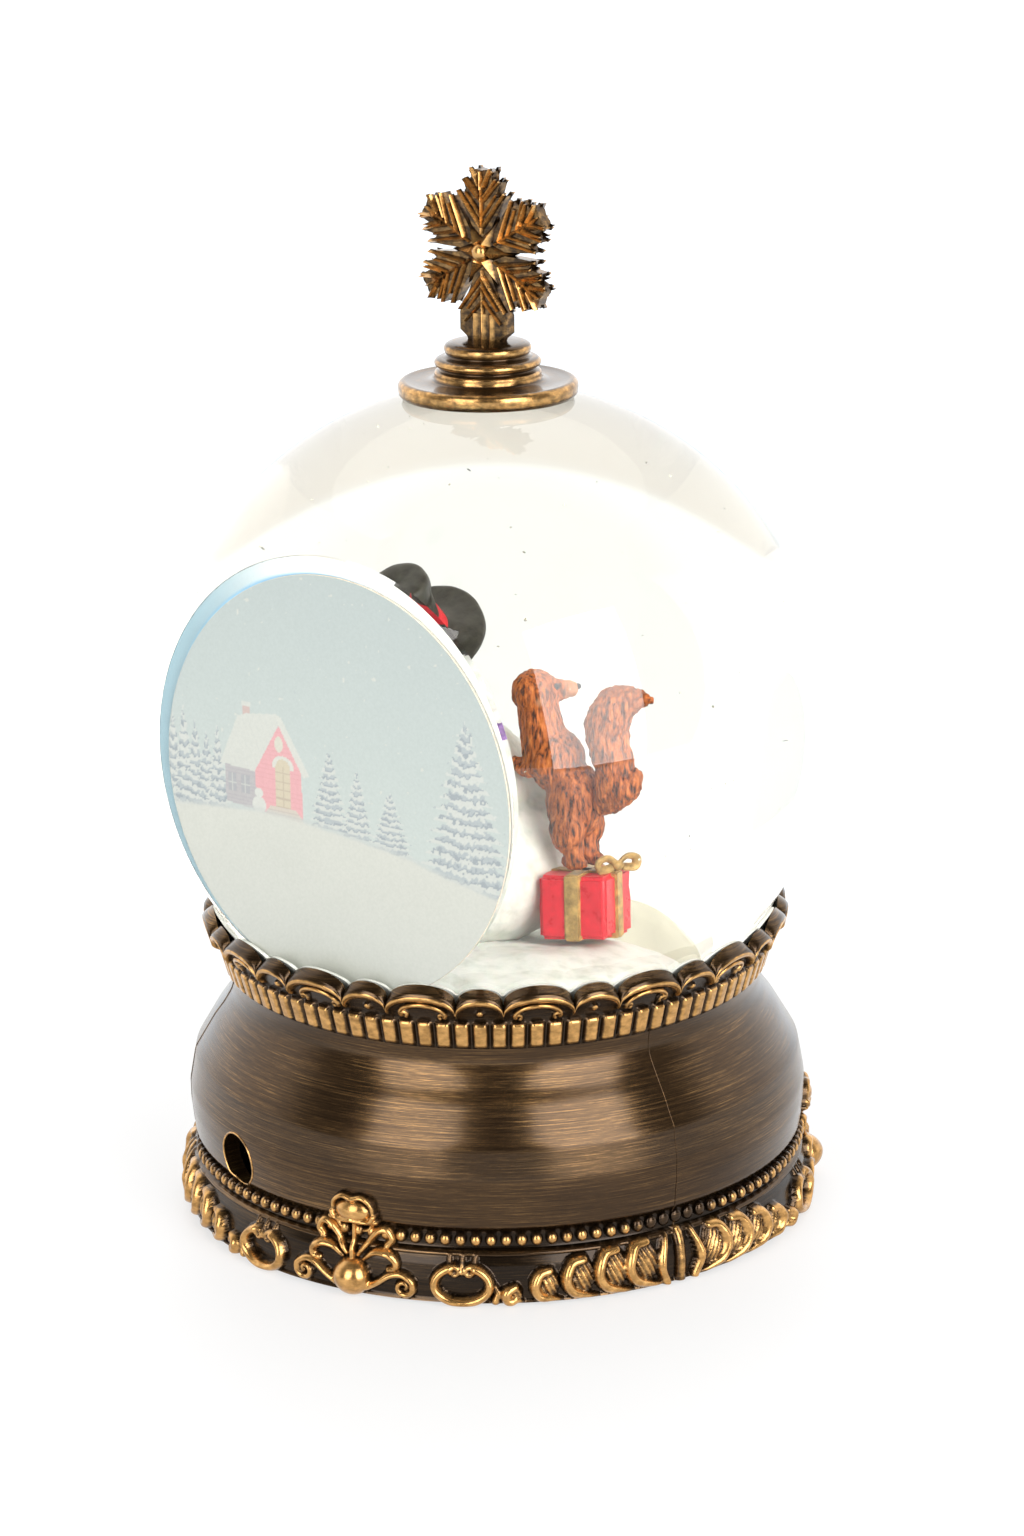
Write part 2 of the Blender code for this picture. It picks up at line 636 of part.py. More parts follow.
def add_wires():
    """Two leads each from the battery contacts, the socket and the motor to the light ring's board."""
    radius = 0.6
    board = BOARD_BOTTOM - GAP - radius
    contact_x = BOX_HALF_LENGTH - BOX_WALL - 0.1
    exit_height = CELL_HEIGHT + 4.0
    routes = {}
    for side, colour in ((-1, "red"), (1, "black")):
        y = -side * CELL_PITCH
        routes["battery", colour] = (
            (side * contact_x, y, exit_height),
            (side * (contact_x + 3.0), y, exit_height + 0.4),
            (side * (contact_x + 5.2), y - side * 1.0, exit_height + 4.6),
            (side * (contact_x + 5.6), y - side * 2.0, board),
        )
        routes["motor", colour] = (
            (side * 3.0, -MOTOR_RADIUS - 2.9, BOX_TOP + 2.6),
            (side * 3.4, -MOTOR_RADIUS - 6.0, BOX_TOP + 2.8),
            (side * 5.0, -MOTOR_RADIUS - 11.0, BOX_TOP + 4.0),
            (side * 6.0, -BOARD_INNER - 3.0, board),
        )
        behind = [polar(r, SOCKET_AZIMUTH + side * turn, h) for r, turn, h in socket_route(board)]
        routes["socket", colour] = tuple(behind)
    for (place, colour), route in routes.items():
        tube(f"{place}_wire_{colour}", [Vector(p) for p in route], [radius] * 4, f"{colour}_wire", steps=3)


def socket_route(board):
    """Radius, turn from the socket's azimuth and height along one of its leads."""
    top = SOCKET_HEIGHT + 5.0
    return ((32.4, 3.2, top + 1.0), (31.6, 4.4, top + 2.0), (31.0, 6.4, top + 3.0), (31.4, 9.5, board))


# ---- The plug and the stirrer ----


def add_globe_gasket():
    """The ring of white sealant that holds the ball in its seat."""
    inside = ball_arc(GLOBE_RADIUS + GAP, SEAT_LOW + 0.8, SEAT_HIGH - 0.4, 3)
    outside = ball_arc(GLOBE_RADIUS + SEAT_GAP - GAP, SEAT_LOW + 0.5, SEAT_HIGH - 0.7, 3)
    new_object("globe_gasket", turned([*inside, *outside[::-1]], 48), "sealant")


def add_stopper():
    flange_top = GLOBE_HEIGHT - math.sqrt((GLOBE_RADIUS - GLASS_THICKNESS) ** 2 - NECK_RADIUS**2) - GAP
    flange = NECK_RADIUS + 3.2
    roof = WELL_FLOOR - 1.6
    outline = (
        (0, WELL_FLOOR - 1.0),
        (PIN_RADIUS + GAP, WELL_FLOOR - 1.0),
        (PIN_RADIUS + GAP, WELL_FLOOR),
        (WELL_RADIUS, WELL_FLOOR),
        (WELL_RADIUS, STOPPER_TOP),
        (STOPPER_RADIUS, STOPPER_TOP),
        (STOPPER_RADIUS, flange_top),
        (flange, flange_top),
        (flange, STOPPER_FLANGE_BOTTOM),
        (WELL_RADIUS, STOPPER_FLANGE_BOTTOM),
        (WELL_RADIUS, roof),
        (0, roof),
    )
    new_object("stopper", turned(outline, 28), "rubber")


def add_impeller():
    """A paddle wheel on a pin, with a ring magnet under it in the plug's well."""
    new_object("impeller_pin", disc(PIN_RADIUS, WELL_FLOOR - 1.0 + GAP, 40.6, segments=12), "steel")
    bore = PIN_RADIUS + GAP
    magnet_low, magnet_high = WELL_FLOOR + GAP, 34.2
    magnet_radius = WELL_RADIUS - 1.2
    hub_radius = 3.2
    ring = (
        (magnet_radius, magnet_low),
        (magnet_radius, magnet_high),
        (bore, magnet_high),
        (bore, magnet_low),
    )
    new_object("impeller_magnet", turned(ring, 24), "magnet")
    low, disc_top, top = magnet_high + GAP, 36.2, 40.0
    wheel = (
        (magnet_radius, low),
        (magnet_radius, disc_top),
        (hub_radius, disc_top),
        (hub_radius, top),
        (bore, top),
        (bore, low),
    )
    impeller = new_object("impeller", turned(wheel, 24), "white_plastic")
    for azimuth in around(BLADES):
        centre = polar((hub_radius + IMPELLER_RADIUS) / 2 - 0.4, azimuth, (disc_top + top) / 2 - 0.4)
        size = (0.9, IMPELLER_RADIUS - hub_radius + 0.8, top - disc_top + 0.4)
        join(impeller, block(size, centre, math.radians(azimuth)))


# ---- The figures ----


def add_snow_mound():
    """A round drift on four legs, so that the stirrer can turn and the liquid flow under it."""
    outline = (
        (0, MOUND_UNDERSIDE),
        (MOUND_RADIUS - 2.0, MOUND_UNDERSIDE),
        (MOUND_RADIUS, MOUND_EDGE - 1.4),
        (MOUND_RADIUS - 0.5, MOUND_EDGE),
        (MOUND_RADIUS - 3.5, MOUND_EDGE + 1.5),
        (MOUND_RADIUS - 9.0, MOUND_TOP),
        (0, MOUND_TOP),
    )
    mound = new_object("snow_mound", turned(outline, 40), "snow")
    for azimuth in around(4, 45.0):
        centre = polar(MOUND_RADIUS - 5.4, azimuth, 0)[:2]
        join(mound, disc(2.2, STOPPER_TOP + GAP, MOUND_UNDERSIDE + 1, centre, 12))


def gift_block(extra=0.0):
    width, depth, height = GIFT_SIZE
    low = MOUND_TOP + GAP
    size = (width + 2 * extra, depth + 2 * extra, height + 2 * extra)
    return block(size, (*GIFT, low + height / 2), GIFT_TURN)


def add_snowman():
    """Three stacked snowballs with stub arms, a scarf and a carrot nose."""
    foot = MOUND_TOP + GAP
    outline = ((0, 0), (9.0, 0), (11.0, 3.5), (11.5, 7.0), (10.2, 11.0), (7.8, 14.0),
               (8.2, 17.0), (7.2, 20.5), (4.6, 22.5), (0, 23.2))
    body = turned([(radius, foot + height) for radius, height in outline], 24, SNOWMAN)
    snowman = new_object("snowman", body, "snow")
    outline = ((0, 20.0), (4.4, 21.0), (5.5, 23.6), (5.6, 26.6), (4.4, HEAD_TOP - 0.7), (0, HEAD_TOP))
    join(snowman, turned([(radius, foot + height) for radius, height in outline], 20, SNOWMAN_HEAD))
    head = Vector((*SNOWMAN_HEAD, foot + 25.4))
    join(snowman, rod(head + Vector((0, -4.5, 0)), head + Vector((-0.6, -9.4, -0.6)), 1.3, 0.25, 10))
    chest = Vector((*SNOWMAN, foot + 17.5))
    join(snowman, rod(chest + Vector((5.5, -2.5, 0)), chest + Vector((9.4, -6.0, -4.5)), 2.4, 1.9, 12))
    cut(snowman, gift_block(GAP))


def add_top_hat():
    """The hat sits askew on the head, which its hollow clears."""
    outline = ((0, 1.0), (5.5, 0.2), (7.6, 0), (7.7, 0.8), (3.6, 1.5), (3.1, 3.6), (3.7, 8.8), (0, 9.2))
    shape = turned(outline, 28)
    back, side = HAT_TILT
    tilt = Matrix.Rotation(side, 4, "Y") @ Matrix.Rotation(back, 4, "X")
    place = Matrix.Translation((*HAT_CENTRE, HAT_BRIM_HEIGHT))
    shape.transform(place @ tilt)
    new_object("top_hat", shape, "black_cloth")


def squirrel_point(forward, side, height):
    """A point by the squirrel: forward towards the snowman, side to its left, height over the gift."""
    left = Vector((-SQUIRREL_LEAN.y, SQUIRREL_LEAN.x, 0))
    place = Vector((*SQUIRREL, MOUND_TOP + GAP + GIFT_SIZE[2] + GAP))
    return place + SQUIRREL_SCALE * (forward * SQUIRREL_LEAN + side * left + Vector((0, 0, height)))


def add_squirrel():
    """It stands up on the gift and looks away over its shoulder."""
    squirrel = new_object("squirrel", ball(3.4, squirrel_point(1.1, 0, 7.0), (1.0, 1.0, 1.4)), "fur")
    join(squirrel, ball(2.8, squirrel_point(3.2, 0, 10.9), (1.0, 1.0, 1.15)))
    join(squirrel, rod(squirrel_point(4.4, 0, 12.0), squirrel_point(5.4, 0, 17.0), 2.4, 2.1, 16))
    head = squirrel_point(5.5, 0, 17.8)
    join(squirrel, ball(2.4, head, segments=12))
    muzzle = SQUIRREL_LOOK.normalized()
    join(squirrel, rod(head + muzzle * 1.4, head + muzzle * 5.0, 1.5, 0.6))
    ear_side = muzzle.cross(Vector((0, 0, 1)))
    for side in (-1, 1):
        join(squirrel, ball(1.2, squirrel_point(0.3, side * 1.5, 1.35), (1.4, 1.0, 0.85)))
        join(squirrel, rod(squirrel_point(0.9, side * 1.3, 4.6), squirrel_point(0.6, side * 1.4, 1.3), 1.6, 1.2))
        join(squirrel, rod(squirrel_point(3.2, side * 1.8, 10.6), squirrel_point(5.4, side * 1.4, 10.2), 1.2, 0.8))
        join(squirrel, ball(0.8, head + ear_side * side * 2.3 + Vector((0, 0, 0.4)), (1.0, 1.0, 1.3)))


def add_squirrel_tail():
    route = ((-3.1, 6.9), (-4.6, 9.0), (-4.0, 12.0), (-3.4, 14.6), (-4.0, 17.0), (-5.7, 18.4), (-9.0, 19.0))
    radii = (0.6, 2.1, 2.3, 2.4, 2.5, 1.8, 0.4)
    points = [squirrel_point(forward, 0, height) for forward, height in route]
    tube("squirrel_tail", points, radii, "fur", steps=3)


def add_gift():
    box = new_object("gift_box", gift_block(), "gift_paper")
    low = MOUND_TOP + GAP
    middle = (*GIFT, low + GIFT_SIZE[2] / 2 - 0.15)
    ribbon = 1.9
    raised = 0.5
    width, depth, height = GIFT_SIZE
    join(box, block((width + raised, ribbon, height - 0.3), middle, GIFT_TURN))
    join(box, block((ribbon, depth + raised, height - 0.3), middle, GIFT_TURN))


def add_gift_bow():
    """Two flat loops of ribbon and a knot at the back corner of the gift's lid."""
    lid = MOUND_TOP + GAP + GIFT_SIZE[2] + GAP
    knot = Vector((*BOW, lid + 0.6))
    bow = new_object("gift_bow", ball(0.7, knot, segments=8), "gold")
    for way in (-1, 1):
        loop = knot + Vector((way * 0.3 - 0.2, way * 1.1, 0.1))
        join(bow, ball(1.0, loop, (0.7, 1.0, 0.6), segments=8))


# ---- The crown piece ----


def add_finial_saucer():
    underside = ball_arc(GLOBE_RADIUS + GAP, 122.2, GLOBE_HEIGHT + GLOBE_RADIUS + GAP, 4)[::-1]
    outline = [
        *underside,
        (SAUCER_RADIUS, 122.9),
        (SAUCER_RADIUS, 124.2),
        (SAUCER_RADIUS - 0.7, 124.7),
        (9.4, 124.6),
        (7.8, 125.6),
        (7.8, 127.0),
        (6.9, 127.5),
        (6.35, 128.2),
        (6.35, 129.4),
        (4.8, 130.2),
        (0.0, BOSS_TOP),
    ]
    new_object("finial_saucer", turned(outline, 28), "bronze")


def flake_outline():
    """Six arms, each with two pairs of twigs and a pointed tip."""
    twigs = ((4.6, 2.0), (7.2, 3.2), (7.8, 2.0), (10.2, 3.4), (10.8, 1.8), (12.0, 1.5))
    points = []
    for arm in range(6):
        angle = math.radians(60 * arm)
        along = Vector((math.sin(angle), math.cos(angle)))
        across = Vector((along.y, -along.x))
        left = [along * reach - across * half for reach, half in twigs]
        right = [along * reach + across * half for reach, half in reversed(twigs)]
        points += [*left, along * FLAKE_ARM, *right]
    return points


def add_snowflake():
    shape = bmesh.new()
    floor = BOSS_TOP + GAP - FLAKE_CENTRE
    rim = [shape.verts.new((x, -FLAKE_THICKNESS / 2, FLAKE_CENTRE + z)) for x, z in flake_outline()]
    face = shape.faces.new(rim)
    grown = bmesh.ops.extrude_face_region(shape, geom=[face])
    moved = [item for item in grown["geom"] if isinstance(item, bmesh.types.BMVert)]
    bmesh.ops.translate(shape, verts=moved, vec=(0, FLAKE_THICKNESS, 0))
    flake = new_object("snowflake", shape, "bronze")
    cut(flake, block((10, 10, 10), (0, 0, FLAKE_CENTRE + floor - 5)))
    boss = FLAKE_THICKNESS / 2 + 0.8
    join(flake, rod((0, -boss, FLAKE_CENTRE), (0, boss, FLAKE_CENTRE), 2.2, segments=16))


def main():
    clear_scene()
    add_base_shell()
    add_bottom_plate()
    add_feet_and_plate_screws()
    add_battery_box()
    add_battery_door()
    add_batteries()
    add_battery_contacts()
    add_switch()
    add_adaptor_socket()
    add_circuit_board()
    add_leds()
    add_motor()
    add_motor_mount()
    add_wires()
    add_globe_gasket()
    add_stopper()
    add_impeller()
    add_glass_globe()
    add_liquid()
    add_backdrop_film()
    add_snow_mound()
    add_snowman()
    add_top_hat()
    add_squirrel()
    add_squirrel_tail()
    add_gift()
    add_gift_bow()
    add_finial_saucer()
    add_snowflake()


main()
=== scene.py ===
"""The looks of the water globe, built round its CAD frame.

Sizes here are in millimetres, and MM turns them into metres. An azimuth is measured in degrees
from -Y towards +X. The camera looks at the rear left of the globe, at the picture window.
"""

import json
import math
import random

import bmesh
import bpy
import numpy as np
from mathutils import Matrix, Vector, noise


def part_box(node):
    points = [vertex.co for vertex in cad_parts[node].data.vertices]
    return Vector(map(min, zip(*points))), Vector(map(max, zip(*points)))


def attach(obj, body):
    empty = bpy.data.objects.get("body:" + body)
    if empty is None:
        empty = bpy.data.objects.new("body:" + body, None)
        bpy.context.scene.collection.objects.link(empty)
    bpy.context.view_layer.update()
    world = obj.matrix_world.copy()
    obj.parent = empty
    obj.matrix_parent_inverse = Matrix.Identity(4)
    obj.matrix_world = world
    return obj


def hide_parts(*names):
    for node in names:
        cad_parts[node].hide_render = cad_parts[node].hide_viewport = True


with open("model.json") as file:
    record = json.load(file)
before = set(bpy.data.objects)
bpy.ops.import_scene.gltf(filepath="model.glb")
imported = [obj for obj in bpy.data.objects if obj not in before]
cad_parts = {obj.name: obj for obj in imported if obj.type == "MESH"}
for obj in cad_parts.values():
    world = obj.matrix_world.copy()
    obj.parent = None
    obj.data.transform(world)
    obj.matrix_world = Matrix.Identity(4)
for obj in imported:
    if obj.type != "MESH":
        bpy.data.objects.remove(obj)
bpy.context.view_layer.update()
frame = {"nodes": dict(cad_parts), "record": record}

MM = 0.001
BASE = "base"


def cad_box(node):
    """The lowest and highest corner of a CAD node, in millimetres."""
    low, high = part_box(node)
    return low / MM, high / MM


def middle(node):
    low, high = cad_box(node)
    return (low + high) / 2


# ---- Driving sizes, read from the frame ----

GLOBE_RADIUS = (cad_box("glass_globe")[1].x - cad_box("glass_globe")[0].x) / 2
GLOBE_HEIGHT = cad_box("glass_globe")[1].z - GLOBE_RADIUS
GLASS = 2.0
NECK_OUTER = 24.4  # the radius of the round opening under the ball, outside and inside
NECK_INNER = 22.5
WINDOW_DEPTH = cad_box("glass_globe")[1].y
WINDOW_RADIUS = math.sqrt(GLOBE_RADIUS ** 2 - WINDOW_DEPTH ** 2) - 0.06
FILM_RADIUS = (cad_box("backdrop_film")[1].x - cad_box("backdrop_film")[0].x) / 2
FILM_CENTRE = middle("backdrop_film")
SKIRT_BOTTOM = cad_box("base_shell")[0].z
RIM_HEIGHT = cad_box("base_shell")[1].z
MOUND_RADIUS = (cad_box("snow_mound")[1].x - cad_box("snow_mound")[0].x) / 2
MOUND_TOP = cad_box("snow_mound")[1].z
GIFT_LOW, GIFT_HIGH = cad_box("gift_box")
GIFT = Vector(((GIFT_LOW.x + GIFT_HIGH.x) / 2, (GIFT_LOW.y + GIFT_HIGH.y) / 2, GIFT_LOW.z))
FLAKE_LOW, FLAKE_HIGH = cad_box("snowflake")
SAUCER_TOP = cad_box("finial_saucer")[1].z

SECTORS = 3
FIRST_CARTOUCHE = 190.4  # the middle of one of the three ornaments round the foot
SECTOR = 360 / SECTORS
HOLE_AZIMUTH = 161.2
HOLE_HEIGHT = 14.4
HOLE_RADIUS = 4.0

# The base's outside, from the foot to the collar: height and radius
OUTLINE = (
    (0.0, 46.8), (3.4, 47.0), (6.0, 46.6), (7.4, 46.0), (8.2, 45.3), (10.6, 45.2), (11.4, 45.9),
    (15.5, 46.35), (18.5, 46.4), (23.5, 45.5), (28.5, 42.5), (30.5, 41.0), (32.5, 39.8),
    (34.0, 39.4), (35.0, 39.5), (36.3, 39.8), (40.5, 41.0),
)
BEAD_HEIGHT = 9.5
BEAD_RADIUS = 1.02
BEADS = 132
RIB_LOW = 36.4
RIB_HIGH = 40.4
RIBS = 96
SCALLOPS = 16
LARGE_SCALLOP = 13.5  # degrees; a small one fills the rest of each period
TROUGH = RIM_HEIGHT - 2.6
COLLAR_FOOT = 41.0  # the collar's radius over the ribs
COLLAR_ARC = 42.5  # the radius that lengths along the collar are measured at
FOOT_ARC = 46.5  # the same for the foot
FINE_COLUMNS = 1440


# ---- Meshes ----


def polar(radius, azimuth, height=0.0):
    turn = math.radians(azimuth)
    return Vector((radius * math.sin(turn), -radius * math.cos(turn), height))


def put(name, mesh, looks, node, sharp=35):
    """Links a finished mesh, in metres, as a piece of the base in place of a CAD node."""
    for look in looks.split():
        mesh.materials.append(LOOKS[look])
    mesh.shade_smooth()
    mesh.set_sharp_from_angle(angle=math.radians(sharp))
    piece = bpy.data.objects.new(name, mesh)
    bpy.context.scene.collection.objects.link(piece)
    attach(piece, BASE)
    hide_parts(node)
    return piece


def mesh_of(name, points, faces):
    """A mesh from an array of points in millimetres and an array of faces."""
    mesh = bpy.data.meshes.new(name)
    mesh.from_pydata((np.asarray(points) * MM).tolist(), [], np.asarray(faces).tolist())
    return mesh


def mesh_from(name, shape):
    """A mesh from a bmesh in millimetres, which it frees."""
    bmesh.ops.transform(shape, matrix=Matrix.Scale(MM, 4), verts=shape.verts)
    mesh = bpy.data.meshes.new(name)
    shape.to_mesh(mesh)
    shape.free()
    return mesh


def around(columns):
    """Evenly spaced azimuths round the globe."""
    return np.arange(columns) * 360 / columns


def rise(height):
    return Vector((0, 0, height))


def write_layer(mesh, name, values):
    mesh.attributes.new(name, "FLOAT", "POINT").data.foreach_set("value", np.ravel(values))


def write_colours(mesh, name, colours):
    values = np.ones((len(mesh.vertices), 4), np.float32)
    values[:, :3] = colours
    mesh.attributes.new(name, "FLOAT_COLOR", "POINT").data.foreach_set("color", values.ravel())


def ring_mesh(name, radius, height, azimuths, closed=True):
    """Rows of points round the Z axis; radius and height are arrays of rows by columns."""
    turn = np.radians(azimuths)[None, :]
    points = np.stack([radius * np.sin(turn), -radius * np.cos(turn), height], -1).reshape(-1, 3)
    rows, columns = radius.shape
    row = np.arange(rows if closed else rows - 1)[:, None]
    column = np.arange(columns)[None, :]
    after = (column + 1) % columns
    above = (row + 1) % rows
    corners = [
        row * columns + column, row * columns + after,
        above * columns + after, above * columns + column,
    ]
    return mesh_of(name, points, np.stack(np.broadcast_arrays(*corners), -1).reshape(-1, 4))


def turned_mesh(name, outline, columns=160, closed=True):
    """An outline of (radius, height), outer side upwards, turned about the Z axis."""
    outline = np.array(outline)
    radius = np.repeat(outline[:, :1], columns, 1)
    height = np.repeat(outline[:, 1:], columns, 1)
    return ring_mesh(name, radius, height, around(columns), closed)


def rounded(outline, steps=4):
    """The corners of an open outline, cut twice into a smooth curve (Chaikin)."""
    points = [Vector(point) for point in outline]
    for _ in range(steps // 2):
        cut = [points[0]]
        for a, b in zip(points, points[1:]):
            cut += [a.lerp(b, 0.25), a.lerp(b, 0.75)]
        points = [*cut, points[-1]]
    return [tuple(point) for point in points]


def add_ball(shape, centre, radius, stretch=(1, 1, 1), turn=None, segments=20):
    matrix = Matrix.Translation(centre) @ (turn or Matrix()) @ Matrix.Diagonal((*stretch, 1))
    bmesh.ops.create_uvsphere(
        shape, u_segments=segments, v_segments=segments // 2, radius=radius, matrix=matrix
    )


def add_rod(shape, start, end, radius, end_radius=None, segments=16):
    start, end = Vector(start), Vector(end)
    turn = (end - start).to_track_quat("Z", "Y").to_matrix().to_4x4()
    matrix = Matrix.Translation((start + end) / 2) @ turn
    tip = radius if end_radius is None else end_radius
    bmesh.ops.create_cone(
        shape, cap_ends=True, segments=segments, radius1=radius, radius2=tip,
        depth=(end - start).length, matrix=matrix,
    )


def smooth_route(points, steps=6):
    """Points along a Catmull-Rom curve through the given ones, of any dimension."""
    points = [Vector(point) for point in points]
    ends = [2 * points[0] - points[1], *points, 2 * points[-1] - points[-2]]
    route = []
    for a, b, c, d in zip(ends, ends[1:], ends[2:], ends[3:]):
        for step in range(steps):
            t = step / steps
            route.append(0.5 * (2 * b + t * (c - a) + t * t * (2 * a - 5 * b + 4 * c - d)
                                + t ** 3 * (3 * b - a - 3 * c + d)))
    return [*route, points[-1]]


def add_tube(shape, points, radii, segments=10, flat=1.0):
    """A closed tube along 3-D points; radii follow it evenly, and flat squeezes it sideways."""
    points = [Vector(point) for point in points]
    rings = []
    side = None
    for index, point in enumerate(points):
        ahead = points[min(index + 1, len(points) - 1)] - points[max(index - 1, 0)]
        ahead.normalize()
        side = ahead.orthogonal() if side is None else side - ahead * side.dot(ahead)
        side.normalize()
        up = ahead.cross(side)
        place = index / (len(points) - 1) * (len(radii) - 1)
        first = min(int(place), len(radii) - 2)
        radius = radii[first] + (radii[first + 1] - radii[first]) * (place - first)
        ring = []
        for step in range(segments):
            turn = 2 * math.pi * step / segments
            offset = side * math.cos(turn) * radius * flat + up * math.sin(turn) * radius
            ring.append(shape.verts.new(point + offset))
        rings.append(ring)
    for low, high in zip(rings, rings[1:]):
        for step in range(segments):
            after = (step + 1) % segments
            shape.faces.new((low[step], low[after], high[after], high[step]))
    shape.faces.new(rings[0][::-1])
    shape.faces.new(rings[-1])


def fused(name, shape, voxel=0.3, rounds=4, strength=0.5):
    """One skin over all the overlapping bodies of a bmesh, smoothed like clay."""
    mesh = mesh_from(name, shape)
    draft = bpy.data.objects.new(name + "_draft", mesh)
    bpy.context.scene.collection.objects.link(draft)
    remesh = draft.modifiers.new("skin", "REMESH")
    remesh.mode = "VOXEL"
    remesh.voxel_size = voxel * MM
    remesh.use_smooth_shade = True
    smooth = draft.modifiers.new("soften", "SMOOTH")
    smooth.factor = strength
    smooth.iterations = rounds
    graph = bpy.context.evaluated_depsgraph_get()
    skin = bpy.data.meshes.new_from_object(draft.evaluated_get(graph))
    bpy.data.objects.remove(draft)
    bpy.data.meshes.remove(mesh)
    skin.materials.clear()
    return skin


def points_of(mesh):
    """(points, normals) of a mesh, in millimetres."""
    points = np.empty(len(mesh.vertices) * 3, np.float32)
    normals = np.empty(len(mesh.vertices) * 3, np.float32)
    mesh.vertices.foreach_get("co", points)
    mesh.vertex_normals.foreach_get("vector", normals)
    return points.reshape(-1, 3) / MM, normals.reshape(-1, 3)


def push(mesh, amounts):
    """Moves each point along its normal by an amount in millimetres."""
    points, normals = points_of(mesh)
    points += normals * np.asarray(amounts)[:, None]
    mesh.vertices.foreach_set("co", (points * MM).astype(np.float32).ravel())
    mesh.update()


def noise_at(points, scale, offset=0.0):
    """Smooth noise from -1 to 1 at each point; scale is a number, or one each for X, Y and Z."""
    scale = Vector((scale,) * 3 if isinstance(scale, (int, float)) else scale)
    return np.array([
        noise.noise(Vector((p[0] * scale.x + offset, p[1] * scale.y, p[2] * scale.z))) for p in points
    ])


def roughen(mesh, *waves, sink=0.0):
    """Moves points along their normals by waves of noise: (height, scale, offset)."""
    points, _ = points_of(mesh)
    push(mesh, sum(height * noise_at(points, scale, offset) for height, scale, offset in waves) - sink)


def smooth_step(low, high, value):
    t = np.clip((value - low) / (high - low), 0, 1)
    return t * t * (3 - 2 * t)


# ---- Materials ----


class Look:
    """A material whose nodes are added by name and joined by short calls."""

    def __init__(self, name, **sockets):
        self.material = bpy.data.materials.new(name)
        self.material.use_nodes = True
        self.tree = self.material.node_tree
        self.shader = self.tree.nodes["Principled BSDF"]
        for socket, value in sockets.items():
            self.shader.inputs[socket.replace("_", " ")].default_value = value

    def node(self, kind, **settings):
        made = self.tree.nodes.new("ShaderNode" + kind)
        for setting, value in settings.items():
            setattr(made, setting, value)
        return made

    def join(self, output, target):
        self.tree.links.new(output, target)

    def place(self, scale=(1, 1, 1)):
        """The surface point in metres from the globe's origin, scaled along each axis."""
        where = self.node("TexCoord")
        mapping = self.node("Mapping")
        mapping.inputs["Scale"].default_value = scale
        self.join(where.outputs["Object"], mapping.inputs["Vector"])
        return mapping.outputs["Vector"]

    def noise(self, scale, detail=4.0, roughness=0.55, stretch=(1, 1, 1)):
        made = self.node("TexNoise")
        made.inputs["Scale"].default_value = scale
        made.inputs["Detail"].default_value = detail
        made.inputs["Roughness"].default_value = roughness
        self.join(self.place(stretch), made.inputs["Vector"])
        return made.outputs["Fac"]

    def ramp(self, value, stops):
        """Colours or greys along a value: stops is a list of (position, colour or grey)."""
        made = self.node("ValToRGB")
        elements = made.color_ramp.elements
        while len(elements) < len(stops):
            elements.new(0.5)
        for element, (position, colour) in zip(elements, stops):
            element.position = position
            colour = (colour,) * 3 if isinstance(colour, (int, float)) else colour
            element.color = (*colour, 1)
        self.join(value, made.inputs["Fac"])
        return made.outputs["Color"]

    def mix(self, factor, first, second, blend="MIX"):
        made = self.node("Mix", data_type="RGBA", blend_type=blend)
        for socket, value in (("Factor", factor), ("A", first), ("B", second)):
            wanted = "VALUE" if socket == "Factor" else "RGBA"
            target = next(s for s in made.inputs if s.name == socket and s.type == wanted and s.enabled)
            if isinstance(value, (int, float)):
                target.default_value = value
            elif isinstance(value, tuple):
                target.default_value = (*value, 1)
            else:
                self.join(value, target)
        return next(s for s in made.outputs if s.type == "RGBA")

    def math(self, kind, first, second=0.0):
        made = self.node("Math", operation=kind)
        for target, value in zip(made.inputs, (first, second)):
            if isinstance(value, (int, float)):
                target.default_value = value
            else:
                self.join(value, target)
        return made.outputs["Value"]

    def sum(self, first, second):
        return self.math("ADD", first, second)

    def scaled(self, value, factor, middle=0.0):
        """A value's distance from a middle one, times a factor."""
        if middle:
            value = self.math("SUBTRACT", value, middle)
        return self.math("MULTIPLY", value, factor)

    def layer(self, name, output="Fac"):
        return self.node("Attribute", attribute_name=name).outputs[output]

    def colour(self, value):
        self.join(value, self.shader.inputs["Base Color"])

    def roughness(self, value, low, high):
        self.join(self.ramp(value, [(0.3, low), (0.7, high)]), self.shader.inputs["Roughness"])

    def bump(self, value, depth, strength=0.6):
        """depth is the height of the relief in millimetres."""
        made = self.node("Bump")
        made.inputs["Strength"].default_value = strength
        made.inputs["Distance"].default_value = depth * MM
        self.join(value, made.inputs["Height"])
        self.join(made.outputs["Normal"], self.shader.inputs["Normal"])


